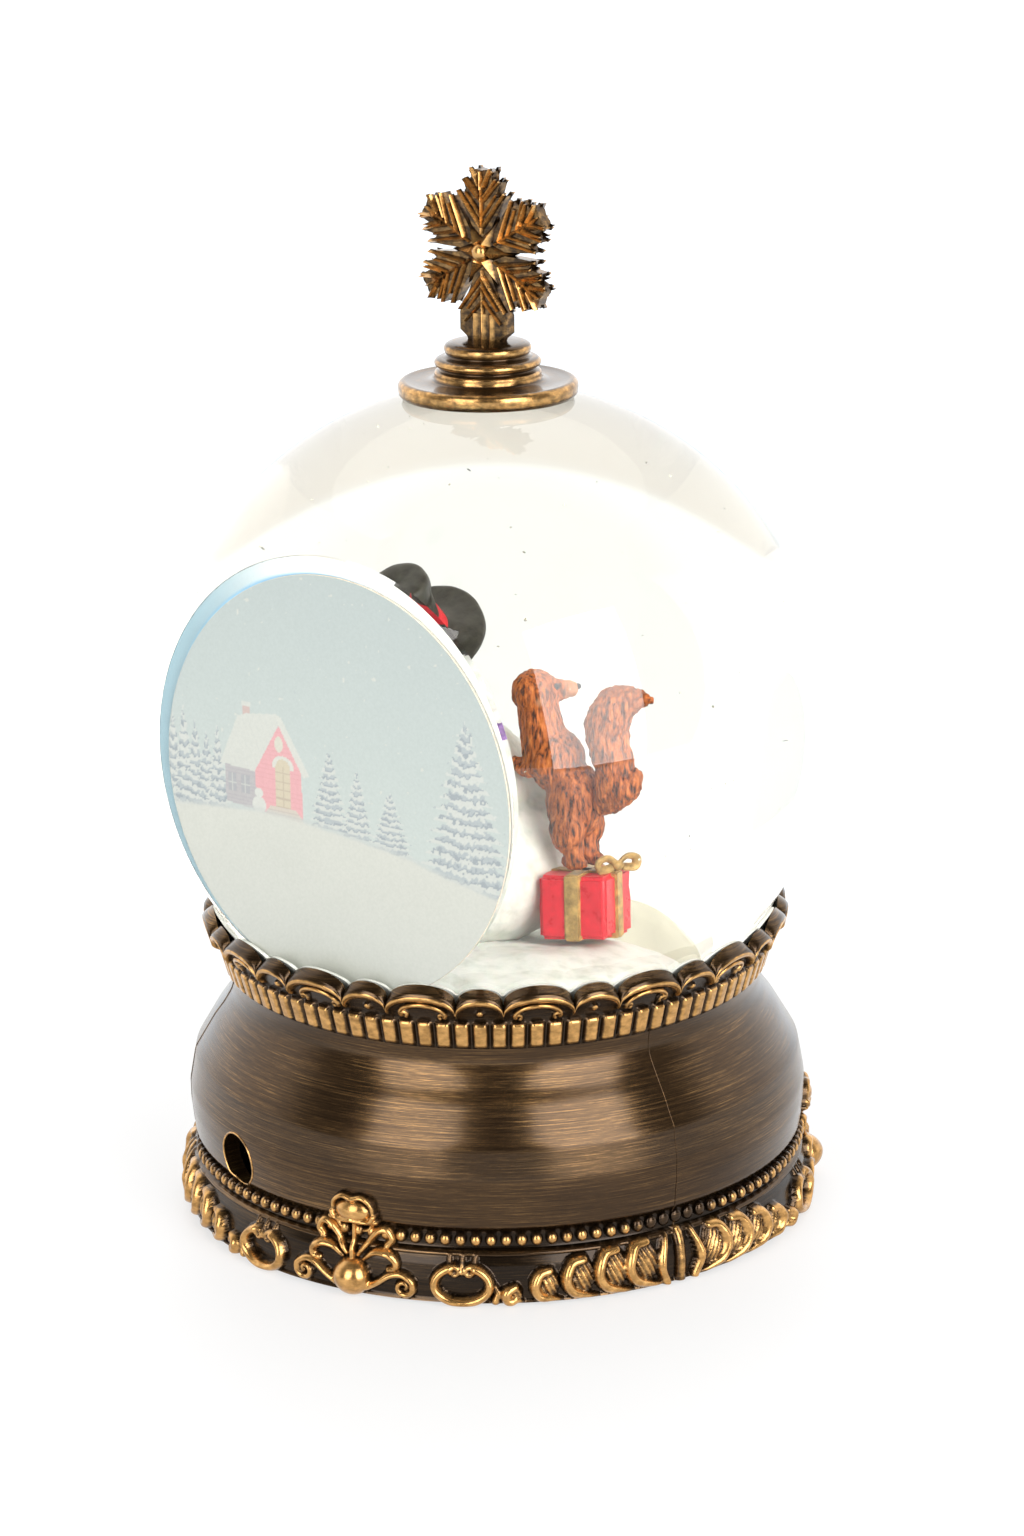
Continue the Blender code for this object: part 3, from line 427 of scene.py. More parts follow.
def bronze_look(name):
    """Dark antique bronze with fine brushed streaks and rubbed gold where it stands proud."""
    look = Look(name, Metallic=0.88, Coat_Weight=0.22, Coat_Roughness=0.15)
    long = look.noise(1.0, 5.0, 0.62, (80, 80, 10500))
    short = look.noise(1.0, 4.0, 0.68, (420, 420, 12500))
    streaks = look.sum(look.scaled(long, 0.62), look.scaled(short, 0.38))
    patches = look.noise(1.0, 3.0, 0.5, (26, 26, 70))
    spread = look.sum(streaks, look.scaled(patches, 0.30, 0.5))
    ground = look.ramp(spread, [
        (0.40, (0.034, 0.018, 0.007)), (0.53, (0.070, 0.038, 0.015)),
        (0.64, (0.200, 0.112, 0.042)), (0.78, (0.60, 0.35, 0.13)),
    ])
    rubbed = look.noise(1.0, 5.0, 0.6, (700, 700, 1100))
    worn = look.sum(look.layer("gold"), look.scaled(rubbed, 0.9, 0.5))
    gold_mask = look.ramp(worn, [(0.30, 0.0), (0.85, 1.0)])
    gold = look.ramp(rubbed, [(0.3, (0.31, 0.160, 0.045)), (0.7, (0.70, 0.39, 0.13))])
    hollow = look.ramp(look.layer("hollow"), [(0.0, 1.0), (1.0, 0.28)])
    painted = look.mix(gold_mask, look.mix(1.0, ground, hollow, "MULTIPLY"), gold)
    look.colour(painted)
    look.roughness(streaks, 0.13, 0.28)
    look.bump(streaks, 0.05, 0.45)
    return look.material


def clear_look(name, index, tint=(1, 1, 1)):
    look = Look(name, Base_Color=(*tint, 1), Transmission_Weight=1.0, Roughness=0.0, IOR=index)
    return look.material


def snow_look(name):
    """White painted resin with soft grey-green shading in its dents."""
    look = Look(name, Subsurface_Weight=0.15, Subsurface_Scale=1.5 * MM)
    dents = look.noise(420, 5.0, 0.6)
    look.colour(look.ramp(dents, [
        (0.3, (0.58, 0.60, 0.55)), (0.5, (0.74, 0.75, 0.71)), (0.8, (0.83, 0.83, 0.80)),
    ]))
    look.roughness(dents, 0.45, 0.62)
    look.bump(look.noise(1500, 4.0), 0.12, 0.5)
    return look.material


def fur_look(name):
    """Orange-brown paint over carved hair, with dark strokes and dry-brushed light ones."""
    look = Look(name)
    hair = look.noise(1.0, 5.0, 0.62, (2400, 2400, 560))
    tone = look.noise(260, 3.0)
    base = look.ramp(hair, [
        (0.38, (0.040, 0.010, 0.003)), (0.46, (0.30, 0.070, 0.012)),
        (0.58, (0.56, 0.150, 0.028)), (0.76, (0.78, 0.30, 0.08)),
    ])
    deep = look.ramp(tone, [(0.35, 0.80), (0.65, 1.06)])
    look.colour(look.mix(look.layer("pale"), look.mix(1.0, base, deep, "MULTIPLY"), (0.70, 0.38, 0.22)))
    look.roughness(hair, 0.42, 0.62)
    look.bump(hair, 0.25, 0.8)
    return look.material


def painted_look(name, colour, roughness=0.4, speckle=0.12, grain=600, bump=0.05, metallic=0.0, coat=0.0):
    """Brushed-on paint: slightly uneven in tone, with a fine ripple."""
    look = Look(name, Metallic=metallic, Coat_Weight=coat)
    uneven = look.noise(grain, 5.0, 0.6)
    dark = tuple(part * (1 - 2 * speckle) for part in colour)
    light = tuple(min(1.0, part * (1 + speckle) + 0.02 * speckle) for part in colour)
    look.colour(look.ramp(uneven, [(0.3, dark), (0.7, light)]))
    look.roughness(uneven, max(roughness - 0.06, 0.02), roughness + 0.08)
    look.bump(uneven, bump, 0.5)
    return look.material


def print_look(name):
    """The printed film: its colours are painted point by point, under a fine print grain."""
    look = Look(name, Coat_Weight=0.0)
    grain = look.ramp(look.noise(2600, 2.0), [(0.3, 0.965), (0.7, 1.03)])
    look.colour(look.mix(1.0, look.layer("print", "Color"), grain, "MULTIPLY"))
    look.roughness(look.noise(900, 3.0), 0.42, 0.58)
    return look.material


LOOKS = {
    "bronze": bronze_look("antique_bronze"),
    "glass": clear_look("globe_glass", 1.5, (0.86, 0.82, 0.72)),
    "glass_wet": clear_look("globe_glass_wet", 1.5 / 1.3333),
    "snow": snow_look("snow_resin"),
    "fur": fur_look("squirrel_fur"),
    "sealant": painted_look("white_sealant", (0.84, 0.85, 0.78), 0.45, 0.05, 500, 0.05),
    "print": print_look("printed_film"),
    "hat": painted_look("hat_black", (0.024, 0.023, 0.016), 0.36, 0.35, 900, 0.10),
    "red": painted_look("gift_red", (0.76, 0.016, 0.034), 0.30, 0.12, 700, 0.06),
    "band": painted_look("hat_band_red", (0.62, 0.02, 0.03), 0.4, 0.15),
    "gold": painted_look("gold_paint", (0.58, 0.37, 0.13), 0.34, 0.30, 900, 0.08, metallic=0.35),
    "cream": painted_look("cream_paint", (0.80, 0.70, 0.55), 0.5, 0.12),
    "carrot": painted_look("carrot_orange", (0.75, 0.22, 0.04), 0.45, 0.2),
    "purple": painted_look("scarf_purple", (0.35, 0.20, 0.50), 0.55, 0.25, 1200, 0.10),
    "eye": painted_look("eye_black", (0.01, 0.01, 0.01), 0.12, 0.1, coat=0.5),
    "twig": painted_look("twig_brown", (0.14, 0.07, 0.035), 0.6, 0.4, 900, 0.2),
    "flakes": painted_look("glitter", (0.85, 0.82, 0.72), 0.18, 0.2, metallic=0.8),
}
SLOT_LOOKS = {
    "black_plastic": painted_look("black_plastic", (0.022, 0.022, 0.024), 0.5, 0.2, 1800, 0.05),
    "white_plastic": painted_look("white_plastic", (0.78, 0.78, 0.75), 0.4, 0.04, 900, 0.03),
    "black_rubber": painted_look("black_rubber", (0.018, 0.018, 0.018), 0.72, 0.25, 1500, 0.08),
    "steel": painted_look("steel", (0.56, 0.55, 0.53), 0.28, 0.15, 1200, 0.03, metallic=1.0),
    "magnet_grey": painted_look("magnet_grey", (0.14, 0.14, 0.15), 0.5, 0.3, 900, 0.06, metallic=0.6),
    "cell_wrap": painted_look("cell_wrap", (0.55, 0.36, 0.12), 0.25, 0.1, 300, 0.02, metallic=0.6),
    "board_green": painted_look("board_green", (0.02, 0.16, 0.06), 0.35, 0.25, 500, 0.03),
    "led_clear": painted_look("led_clear", (0.85, 0.88, 0.92), 0.12, 0.05, 500, 0.01, coat=0.5),
    "wire_red": painted_look("wire_red", (0.42, 0.015, 0.015), 0.4, 0.1),
    "wire_black": painted_look("wire_black", (0.015, 0.015, 0.015), 0.4, 0.2),
}


# ---- The base: relief ----


def base_radius(height):
    """The base's plain outer radius at each height."""
    steps = np.arange(-3.0, 43.0, 0.1)
    raw = np.interp(steps, [h for h, _ in OUTLINE], [r for _, r in OUTLINE])
    window = np.hanning(9)
    soft = np.convolve(np.pad(raw, 4, "edge"), window / window.sum(), "valid")
    return np.interp(height, steps, soft)


def ridge(along, up, route, width, height):
    """A rounded raised line through (along, up) points. width and height run from start to end."""
    route = [Vector(point) for point in route]
    lengths = [0.0]
    for a, b in zip(route, route[1:]):
        lengths.append(lengths[-1] + (b - a).length)
    widths = np.interp(lengths, np.linspace(0, lengths[-1], len(width)), width)
    heights = np.interp(lengths, np.linspace(0, lengths[-1], len(height)), height)
    best = np.zeros(np.broadcast(along, up).shape)
    for i, (a, b) in enumerate(zip(route, route[1:])):
        run = b - a
        t = np.clip(((along - a.x) * run.x + (up - a.y) * run.y) / max(run.length_squared, 1e-9), 0, 1)
        distance = np.hypot(along - a.x - t * run.x, up - a.y - t * run.y)
        half = widths[i] + (widths[i + 1] - widths[i]) * t
        tall = heights[i] + (heights[i + 1] - heights[i]) * t
        best = np.maximum(best, tall * np.sqrt(np.clip(1 - (distance / half) ** 2, 0, 1)))
    return best


def dome(along, up, centre, half, height):
    """A raised ellipse with half axes half."""
    reach = ((along - centre[0]) / half[0]) ** 2 + ((up - centre[1]) / half[1]) ** 2
    return height * np.sqrt(np.clip(1 - reach, 0, 1))


def arc_route(centre, radii, start, end, steps=24, end_scale=1.0):
    """Points round an ellipse from one angle to another, shrinking to end_scale: a spiral."""
    route = []
    for step in range(steps + 1):
        t = step / steps
        angle = math.radians(start + (end - start) * t)
        scale = 1 + (end_scale - 1) * t
        across, up = radii[0] * math.cos(angle), radii[1] * math.sin(angle)
        route.append((centre[0] + across * scale, centre[1] + up * scale))
    return route


SCROLL_CENTRE = 16.2  # along the foot from the cartouche
LEAVES = (23.2, 27.8, 32.6, 37.5, 42.2)  # their middles, along the foot from the cartouche
LEAF_HEIGHTS = (3.4, 5.6, 6.8, 7.5, 7.8)
HALF_SECTOR = math.radians(SECTOR / 2) * FOOT_ARC


def foot_relief(along, up):
    """The ornament of half a sector: the ball, tendril, scroll, drops and leaves."""
    parts = [dome(along, up, (0, 2.9), (2.9, 2.9), 2.9)]
    tendril = smooth_route([(2.3, 1.6), (4.0, 2.6), (5.8, 3.9), (7.6, 4.2), (9.1, 3.2), (9.2, 1.9)])
    parts.append(ridge(along, up, tendril, (0.6, 0.6), (1.3, 1.2)))
    volute = arc_route((7.9, 2.3), (1.35, 1.35), -10, -400, 28, 0.25)
    parts.append(ridge(along, up, volute, (0.6, 0.4), (1.2, 0.9)))
    scroll = arc_route((SCROLL_CENTRE, 3.3), (3.9, 2.7), 62, -242, 40)
    parts.append(ridge(along, up, scroll, (0.75, 0.8, 0.75), (1.4, 1.7, 1.4)))
    for side in (-1, 1):
        middle_of_curl = (SCROLL_CENTRE + side * 1.2, 5.1)
        curl = arc_route(middle_of_curl, (1.0, 0.9), 90 - side * 40, 90 + side * 190, 16, 0.5)
        parts.append(ridge(along, up, curl, (0.55, 0.4), (1.1, 0.8)))
    for drop in (-1.9, 0, 1.9):
        stem = [(SCROLL_CENTRE + drop, 7.4), (SCROLL_CENTRE + drop * 0.9, 5.6)]
        parts.append(ridge(along, up, stem, (0.35, 0.5), (0.5, 0.8)))
        parts.append(dome(along, up, (SCROLL_CENTRE + drop * 0.85, 5.2), (0.6, 0.65), 1.0))
    stub = [(20.9, 0.8), (21.3, 2.2), (20.8, 3.2)]
    parts.append(ridge(along, up, stub, (0.7, 0.4), (1.1, 0.7)))
    for centre, top in zip(LEAVES, LEAF_HEIGHTS):
        size = top / 7.5
        rim = smooth_route([
            (centre + 1.0 * size, top - 0.5), (centre - 0.9 * size, top - 0.9),
            (centre - 1.9 * size, 0.55 * top), (centre - 0.9 * size, 0.26 * top),
            (centre + 1.5 * size, 1.0), (centre + 3.1 * size, 0.7),
        ])
        parts.append(ridge(along, up, rim, (0.7, 0.95, 0.85, 0.35), (1.1, 1.75, 1.6, 0.7)))
        inside = dome(along, up, (centre + 0.7, 0.55 * top), (2.0 * size, 0.42 * top), 0.9)
        veins = 0.16 * np.sin((along + 0.5 * up) * 7.5)
        parts.append(np.where(inside > 0.2, inside + veins, 0))
    smear = [(HALF_SECTOR - 2.4, 0.6), (HALF_SECTOR - 3.4, 3.6), (HALF_SECTOR - 2.2, 7.6)]
    parts.append(ridge(along, up, smooth_route(smear), (0.7, 0.8, 0.6), (1.2, 1.5, 0.8)))
    seam = ridge(along, up, [(HALF_SECTOR, 0), (HALF_SECTOR, 9)], (0.9, 0.9), (0.9, 0.9))
    fillet = 0.45 * np.sqrt(np.clip(1 - ((up - 7.6) / 0.4) ** 2, 0, 1))
    hem = 0.35 * np.sqrt(np.clip(1 - ((up - 0.2) / 0.6) ** 2, 0, 1))
    return np.maximum.reduce([*parts, seam, fillet, hem])


def along_foot(azimuths):
    """The distance along the foot from the nearest cartouche's middle."""
    turn = (azimuths - FIRST_CARTOUCHE + SECTOR / 2) % SECTOR - SECTOR / 2
    return np.abs(np.radians(turn)) * FOOT_ARC


def paint_relief(mesh, relief, full=1.2, start=0.35):
    """The gold and hollow layers that the bronze look reads, from the height of the relief."""
    write_layer(mesh, "gold", smooth_step(start, full, relief))
    write_layer(mesh, "hollow", 1 - smooth_step(0.05, start, relief))


def add_foot():
    azimuths = around(FINE_COLUMNS)
    rows = np.linspace(SKIRT_BOTTOM, 8.2, 44)
    relief = foot_relief(*np.meshgrid(along_foot(azimuths), rows))
    radius = base_radius(rows)[:, None] + relief
    inner_rows = np.array([8.2, 4.0, SKIRT_BOTTOM])
    inner_radius = np.repeat(base_radius(inner_rows)[:, None] - 2.4, FINE_COLUMNS, 1)
    radius = np.concatenate([radius, inner_radius])
    height = np.repeat(np.concatenate([rows, inner_rows])[:, None], FINE_COLUMNS, 1)
    mesh = ring_mesh("base_foot", radius, height, azimuths)
    paint_relief(mesh, np.concatenate([relief, np.full_like(inner_radius, 0.3)]))
    put("base_foot", mesh, "bronze", "base_shell", 60)


def add_beads():
    """The row of beads, which fades out beside each mould seam."""
    shape = bmesh.new()
    for number in range(BEADS):
        azimuth = 360 * number / BEADS
        near = HALF_SECTOR - along_foot(np.array([azimuth]))[0]
        size = BEAD_RADIUS * (0.35 + 0.65 * float(smooth_step(1.0, 10.0, near)))
        centre = polar(base_radius(BEAD_HEIGHT) + 0.25, azimuth, BEAD_HEIGHT)
        turn = Matrix.Rotation(math.radians(azimuth), 4, "Z")
        add_ball(shape, centre, BEAD_RADIUS, (0.92, size / BEAD_RADIUS, 1.0), turn, 14)
    mesh = mesh_from("base_beads", shape)
    points, _ = points_of(mesh)
    proud = np.hypot(points[:, 0], points[:, 1]) - base_radius(BEAD_HEIGHT)
    write_layer(mesh, "gold", smooth_step(0.75, 1.25, proud))
    write_layer(mesh, "hollow", 1 - smooth_step(0.1, 0.9, proud))
    put("base_beads", mesh, "bronze", "base_shell", 80)


def drum_gold(height):
    """The bead bed is dark."""
    return 1 - smooth_step(10.2, 11.2, height)


def add_drum():
    columns = 480
    rows = np.concatenate([np.linspace(8.1, 12.0, 14), np.linspace(12.6, RIB_LOW - 0.2, 42)])
    inner_rows = np.array([RIB_LOW - 0.2, 33.0, 30.0, 26.0, 20.0, 14.0, 8.1])
    height = np.concatenate([rows, inner_rows])
    radius = np.concatenate([base_radius(rows), base_radius(inner_rows) - 2.6])
    mesh = turned_mesh("base_drum", np.stack([radius, height], 1), columns)
    hollow = np.repeat(np.concatenate([drum_gold(rows), np.ones(len(inner_rows))])[:, None], columns, 1)
    write_layer(mesh, "hollow", hollow)
    drum = put("base_drum", mesh, "bronze", "base_shell", 40)
    cutter_shape = bmesh.new()
    ends = [polar(reach, HOLE_AZIMUTH, HOLE_HEIGHT) for reach in (36, 52)]
    add_rod(cutter_shape, *ends, HOLE_RADIUS, segments=72)
    cutter = bpy.data.objects.new("hole_cutter", mesh_from("hole_cutter", cutter_shape))
    bpy.context.scene.collection.objects.link(cutter)
    cut = drum.modifiers.new("hole", "BOOLEAN")
    cut.operation = "DIFFERENCE"
    cut.object = cutter
    graph = bpy.context.evaluated_depsgraph_get()
    pierced = bpy.data.meshes.new_from_object(drum.evaluated_get(graph))
    drum.modifiers.remove(cut)
    drum.data = pierced
    bpy.data.objects.remove(cutter)


def add_hole_edge():
    """The thin rolled edge of the socket hole."""
    edge = bmesh.new()
    loop = []
    for step in range(73):
        turn = 2 * math.pi * step / 72
        height = HOLE_HEIGHT + HOLE_RADIUS * math.sin(turn)
        radius = float(base_radius(height))
        azimuth = HOLE_AZIMUTH + math.degrees(math.asin(HOLE_RADIUS * math.cos(turn) / radius))
        loop.append(polar(radius - 0.02, azimuth, height))
    add_tube(edge, loop, (0.16, 0.16), 8)
    mesh = mesh_from("socket_hole_edge", edge)
    write_layer(mesh, "gold", np.full(len(mesh.vertices), 0.75))
    put("socket_hole_edge", mesh, "bronze", "base_shell")


def add_sealant():
    """The ring of sealant between the ball and its seat; it shows through the glass."""
    low = cad_box("globe_gasket")[0].z
    azimuths = around(720)
    ripple = 0.10 * np.sin(np.radians(azimuths * 23)) + 0.08 * np.sin(np.radians(azimuths * 7))
    top = TROUGH - 0.15 + 2.7 * scallop_arch(azimuths) + 0.5 * ripple
    heights = low + (top[None, :] - low) * np.linspace(0, 1, 14)[:, None]
    rows = [np.sqrt((GLOBE_RADIUS + skin) ** 2 - (heights - GLOBE_HEIGHT) ** 2) for skin in (0.55, 0.08)]
    radius = np.concatenate([rows[0], rows[1][::-1]])
    mesh = ring_mesh("seat_sealant", radius, np.concatenate([heights, heights[::-1]]), azimuths)
    put("seat_sealant", mesh, "sealant", "globe_gasket", 60)


def scallop_arch(azimuths):
    """0 in the troughs of the rim and 1 on its peaks, with a pointed trough between scallops."""
    period = 360 / SCALLOPS
    phase = (azimuths + period / 2) % period - period / 2
    half = LARGE_SCALLOP / 2
    small = (period - LARGE_SCALLOP) / 2
    large_reach = np.abs(phase) / half
    small_reach = (period / 2 - np.abs(phase)) / small
    reach = np.where(np.abs(phase) < half, large_reach, small_reach)
    arch = np.sqrt(np.clip(1 - reach ** 2, 0, 1)) ** 0.9
    return np.where(np.abs(phase) < half, arch, 0.86 * arch)


def collar_relief(azimuths, height):
    """Ribs, an arch under each large scallop and a dot under each small one."""
    period = 360 / SCALLOPS
    rib = 360 / RIBS
    phase = np.abs((azimuths + rib / 2) % rib - rib / 2) / rib * 2
    across = np.clip((0.86 - phase) * 2.6, 0, 1) ** 0.6
    up = np.clip(np.minimum(height - RIB_LOW + 0.2, RIB_HIGH - height + 0.2) / 0.6, 0, 1) ** 0.6
    parts = [0.75 * across * up]
    turn = (azimuths + period / 2) % period - period / 2
    along = np.radians(turn) * COLLAR_ARC
    arch = arc_route((0, 41.7), (3.3, 1.75), -8, 188, 26)
    parts.append(ridge(along, height, arch, (0.42, 0.5, 0.42), (0.75, 0.9, 0.75)))
    for side in (-1, 1):
        end = arc_route((side * 2.85, 41.5), (0.45, 0.45), 90 - side * 90, 90 + side * 140, 8)
        parts.append(ridge(along, height, end, (0.35, 0.35), (0.75, 0.6)))
    between = np.radians(np.abs(turn) - period / 2) * COLLAR_ARC
    dot = dome(between, height, (0, 42.2), (0.6, 0.6), 0.7)
    return np.maximum.reduce([*parts, dot])


def add_collar():
    azimuths = around(FINE_COLUMNS)
    arch = scallop_arch(azimuths)[None, :]
    front = TROUGH - 1.35 + 2.55 * arch
    rows = np.linspace(RIB_LOW - 0.3, RIB_HIGH + 0.3, 26)[:, None]
    rib_height = rows + 0 * arch
    rib_radius = base_radius(rows) + 0 * arch
    t = np.linspace(0, 1, 30)[1:, None]
    height = RIB_HIGH + 0.3 + t * (front - RIB_HIGH - 0.3)
    radius = COLLAR_FOOT + (43.05 + 0.45 * arch - COLLAR_FOOT) * t ** 1.1
    outer_height = np.concatenate([rib_height, height])
    relief = collar_relief(azimuths[None, :] + 0 * outer_height, outer_height)
    lip = 0.75 * np.sqrt(np.clip(1 - ((front - height - 0.55) / 0.6) ** 2, 0, 1))
    relief = np.maximum(relief, np.concatenate([0 * rib_height, lip]))
    outer_radius = np.concatenate([rib_radius, radius]) + relief
    back_height = front + 1.15 + 0.15 * arch
    steps = np.linspace(0, 1, 8)[:, None]
    top_radius = (43.35 + 0.45 * arch) + (42.35 - 43.35 - 0.45 * arch) * steps
    top_height = front + 0.12 + (back_height - front - 0.12) * steps ** 0.8
    inner = [(42.2, back_height - 0.35), (41.2, 42.0), (39.4, 39.0), (37.6, RIB_LOW - 0.3)]
    inner_radius = np.concatenate([0 * arch + r for r, _ in inner])
    inner_height = np.concatenate([0 * arch + h for _, h in inner])
    all_radius = np.concatenate([outer_radius, top_radius, inner_radius])
    all_height = np.concatenate([outer_height, top_height, inner_height])
    mesh = ring_mesh("base_collar", all_radius, all_height, azimuths)
    top_gold = np.repeat(np.where(steps > 0.9, 0.45, 0.0), FINE_COLUMNS, 1)
    top_hollow = np.repeat(0.55 - 0.3 * steps, FINE_COLUMNS, 1)
    gold = np.concatenate([smooth_step(0.25, 0.7, relief), top_gold, 0 * inner_radius])
    hollow = np.concatenate([1 - smooth_step(0.0, 0.3, relief), top_hollow, 1 + 0 * inner_radius])
    write_layer(mesh, "gold", gold)
    write_layer(mesh, "hollow", 0.75 * hollow)
    put("base_collar", mesh, "bronze", "base_shell", 50)


def cartouche_relief(along, up):
    """The stem, its two pairs of curled leaves and the cap, on one side of the middle."""
    parts = [ridge(along, up, [(0, 5.0), (0, 11.4)], (0.62, 0.5), (1.9, 1.9))]
    upper = smooth_route([(0.9, 6.2), (2.3, 8.2), (3.7, 9.9), (5.1, 10.2), (5.9, 9.0), (5.2, 8.1)])
    parts.append(ridge(along, up, upper, (0.45, 0.8, 0.75), (1.6, 2.2, 1.9)))
    inner = smooth_route([(1.4, 9.6), (2.3, 9.9), (2.9, 10.8), (3.6, 11.3)])
    parts.append(ridge(along, up, inner, (0.4, 0.6), (1.5, 1.8)))
    lower = smooth_route([(1.7, 5.6), (3.4, 6.9), (5.3, 7.0), (6.6, 5.9), (6.5, 4.8), (5.6, 4.6)])
    parts.append(ridge(along, up, lower, (0.5, 0.9, 0.75), (1.4, 2.1, 1.7)))
    cap = dome(along, up, (0, 12.6), (3.15, 2.1), 2.4)
    cap = np.where(up > 11.3, cap, 0.0)
    fold = smooth_route([(0.0, 14.6), (1.6, 14.9), (2.9, 13.9), (3.2, 12.5)])
    brow = smooth_route([(0.0, 11.5), (1.4, 11.2), (2.7, 11.3), (3.3, 12.2)])
    parts.append(ridge(along, up, fold, (0.6, 0.5), (1.9, 1.5)))
    parts.append(ridge(along, up, brow, (0.8, 0.6), (2.5, 1.9)))
    return np.maximum.reduce([*parts, cap])


def add_cartouches():
    """A patch of relief over the bead row at the middle of each sector."""
    spans = np.linspace(-7.6, 7.6, 110)
    rises = np.linspace(4.2, 15.6, 86)
    relief = cartouche_relief(*np.meshgrid(np.abs(spans), rises))
    columns = len(spans)
    faces = []
    for row in range(len(rises) - 1):
        for column in range(columns - 1):
            first = row * columns + column
            corners = (first, first + 1, first + 1 + columns, first + columns)
            if max(relief.ravel()[list(corners)]) > 0.02:
                faces.append(corners)
    for number in range(SECTORS):
        azimuths = FIRST_CARTOUCHE + number * SECTOR + np.degrees(spans / FOOT_ARC)
        radius = (np.minimum(base_radius(rises), 46.2) - 0.35)[:, None] + relief
        turn = np.radians(azimuths)[None, :]
        points = np.stack([radius * np.sin(turn), -radius * np.cos(turn), rises[:, None] + 0 * turn], -1)
        mesh = mesh_of(f"cartouche_{number + 1}", points.reshape(-1, 3), faces)
        paint_relief(mesh, relief, 1.8, 0.8)
        shape = bmesh.new()
        shape.from_mesh(mesh)
        bmesh.ops.delete(shape, geom=[v for v in shape.verts if not v.link_faces], context="VERTS")
        shape.to_mesh(mesh)
        shape.free()
        put(f"cartouche_{number + 1}", mesh, "bronze", "base_shell", 70)


def add_mould_seams():
    """A thin flash runs up the drum and the collar where two mould parts met."""
    for number in range(SECTORS):
        azimuth = FIRST_CARTOUCHE + SECTOR * (number + 0.5)
        shape = bmesh.new()
        heights = np.linspace(8.0, 43.6, 60)
        wander = 0.06 * np.sin(heights * 0.35) + 0.03 * np.sin(heights * 1.7)
        collar = COLLAR_FOOT + (heights - RIB_HIGH) * 0.62
        radii = np.where(heights < RIB_HIGH, base_radius(heights), collar)
        points = [polar(r + 0.02, azimuth + w, h) for r, w, h in zip(radii, wander, heights)]
        add_tube(shape, points, (0.14, 0.09, 0.07, 0.09, 0.14), 8)
        mesh = mesh_from(f"mould_seam_{number + 1}", shape)
        write_layer(mesh, "gold", np.full(len(mesh.vertices), 0.25))
        put(f"mould_seam_{number + 1}", mesh, "bronze", "base_shell")


# ---- The ball, its picture and its filling ----


def ball_surface(shape, radius, window, neck, flip, look):
    """A ball cut by its flat window and by its round neck; returns the neck's edge loop."""
    before = set(shape.faces)
    made = bmesh.ops.create_uvsphere(
        shape, u_segments=180, v_segments=120, radius=radius,
        matrix=Matrix.Translation(rise(GLOBE_HEIGHT)),
    )
    verts = made["verts"]
    edges = list({edge for vert in verts for edge in vert.link_edges})
    faces = list({face for vert in verts for face in vert.link_faces})
    cut = bmesh.ops.bisect_plane(
        shape, geom=verts + edges + faces, plane_co=(0, window, 0), plane_no=(0, 1, 0), clear_outer=True
    )
    rim = [item for item in cut["geom_cut"] if isinstance(item, bmesh.types.BMEdge)]
    bmesh.ops.contextual_create(shape, geom=rim)
    mine = [face for face in shape.faces if face not in before]
    verts = list({vert for face in mine for vert in face.verts})
    edges = list({edge for face in mine for edge in face.edges})
    low = GLOBE_HEIGHT - math.sqrt(radius ** 2 - neck ** 2)
    cut = bmesh.ops.bisect_plane(
        shape, geom=verts + edges + mine, plane_co=(0, 0, low), plane_no=(0, 0, -1), clear_outer=True
    )
    loop = [item for item in cut["geom_cut"] if isinstance(item, bmesh.types.BMEdge)]
    mine = [face for face in shape.faces if face not in before]
    bmesh.ops.recalc_face_normals(shape, faces=mine)
    if flip:
        bmesh.ops.reverse_faces(shape, faces=mine)
    for face in mine:
        face.material_index = look
    return loop


def add_glass():
    """The glass wall: an outer surface in air and an inner one against the water."""
    shape = bmesh.new()
    outer = ball_surface(shape, GLOBE_RADIUS, WINDOW_DEPTH, NECK_OUTER, False, 0)
    inner = ball_surface(shape, GLOBE_RADIUS - GLASS, WINDOW_DEPTH - GLASS, NECK_INNER, True, 1)
    bmesh.ops.bridge_loops(shape, edges=outer + inner)
    mesh = mesh_from("glass_globe_clear", shape)
    globe = put("glass_globe_clear", mesh, "glass glass_wet", "glass_globe", 25)
    globe.visible_shadow = False


FLAKES = 90
FLAKE_REACH = 44  # how far from the ball's centre they float


def add_glitter():
    """Flakes of glitter that float in the water."""
    shape = bmesh.new()
    rng = random.Random(5)
    made = 0
    while made < FLAKES:
        place = Vector([rng.uniform(-FLAKE_REACH, FLAKE_REACH) for _ in range(3)])
        if place.length > FLAKE_REACH or place.y > WINDOW_DEPTH - 6 or place.z < -20:
            continue
        if math.hypot(place.x, place.y) < 22 and place.z < 16:
            continue
        angle = rng.uniform(0, 6.28)
        axis = Vector([rng.gauss(0, 1) for _ in range(3)]).normalized()
        turn = Matrix.Rotation(angle, 4, axis)
        matrix = Matrix.Translation(place + rise(GLOBE_HEIGHT)) @ turn
        bmesh.ops.create_cone(
            shape, cap_ends=True, segments=6, radius1=rng.uniform(0.1, 0.22), radius2=0.1, depth=0.05,
            matrix=matrix,
        )
        made += 1
    put("liquid_glitter", mesh_from("liquid_glitter", shape), "flakes", "liquid")


# ---- The printed winter scene. across runs to the right as seen from behind; up is from the middle ----

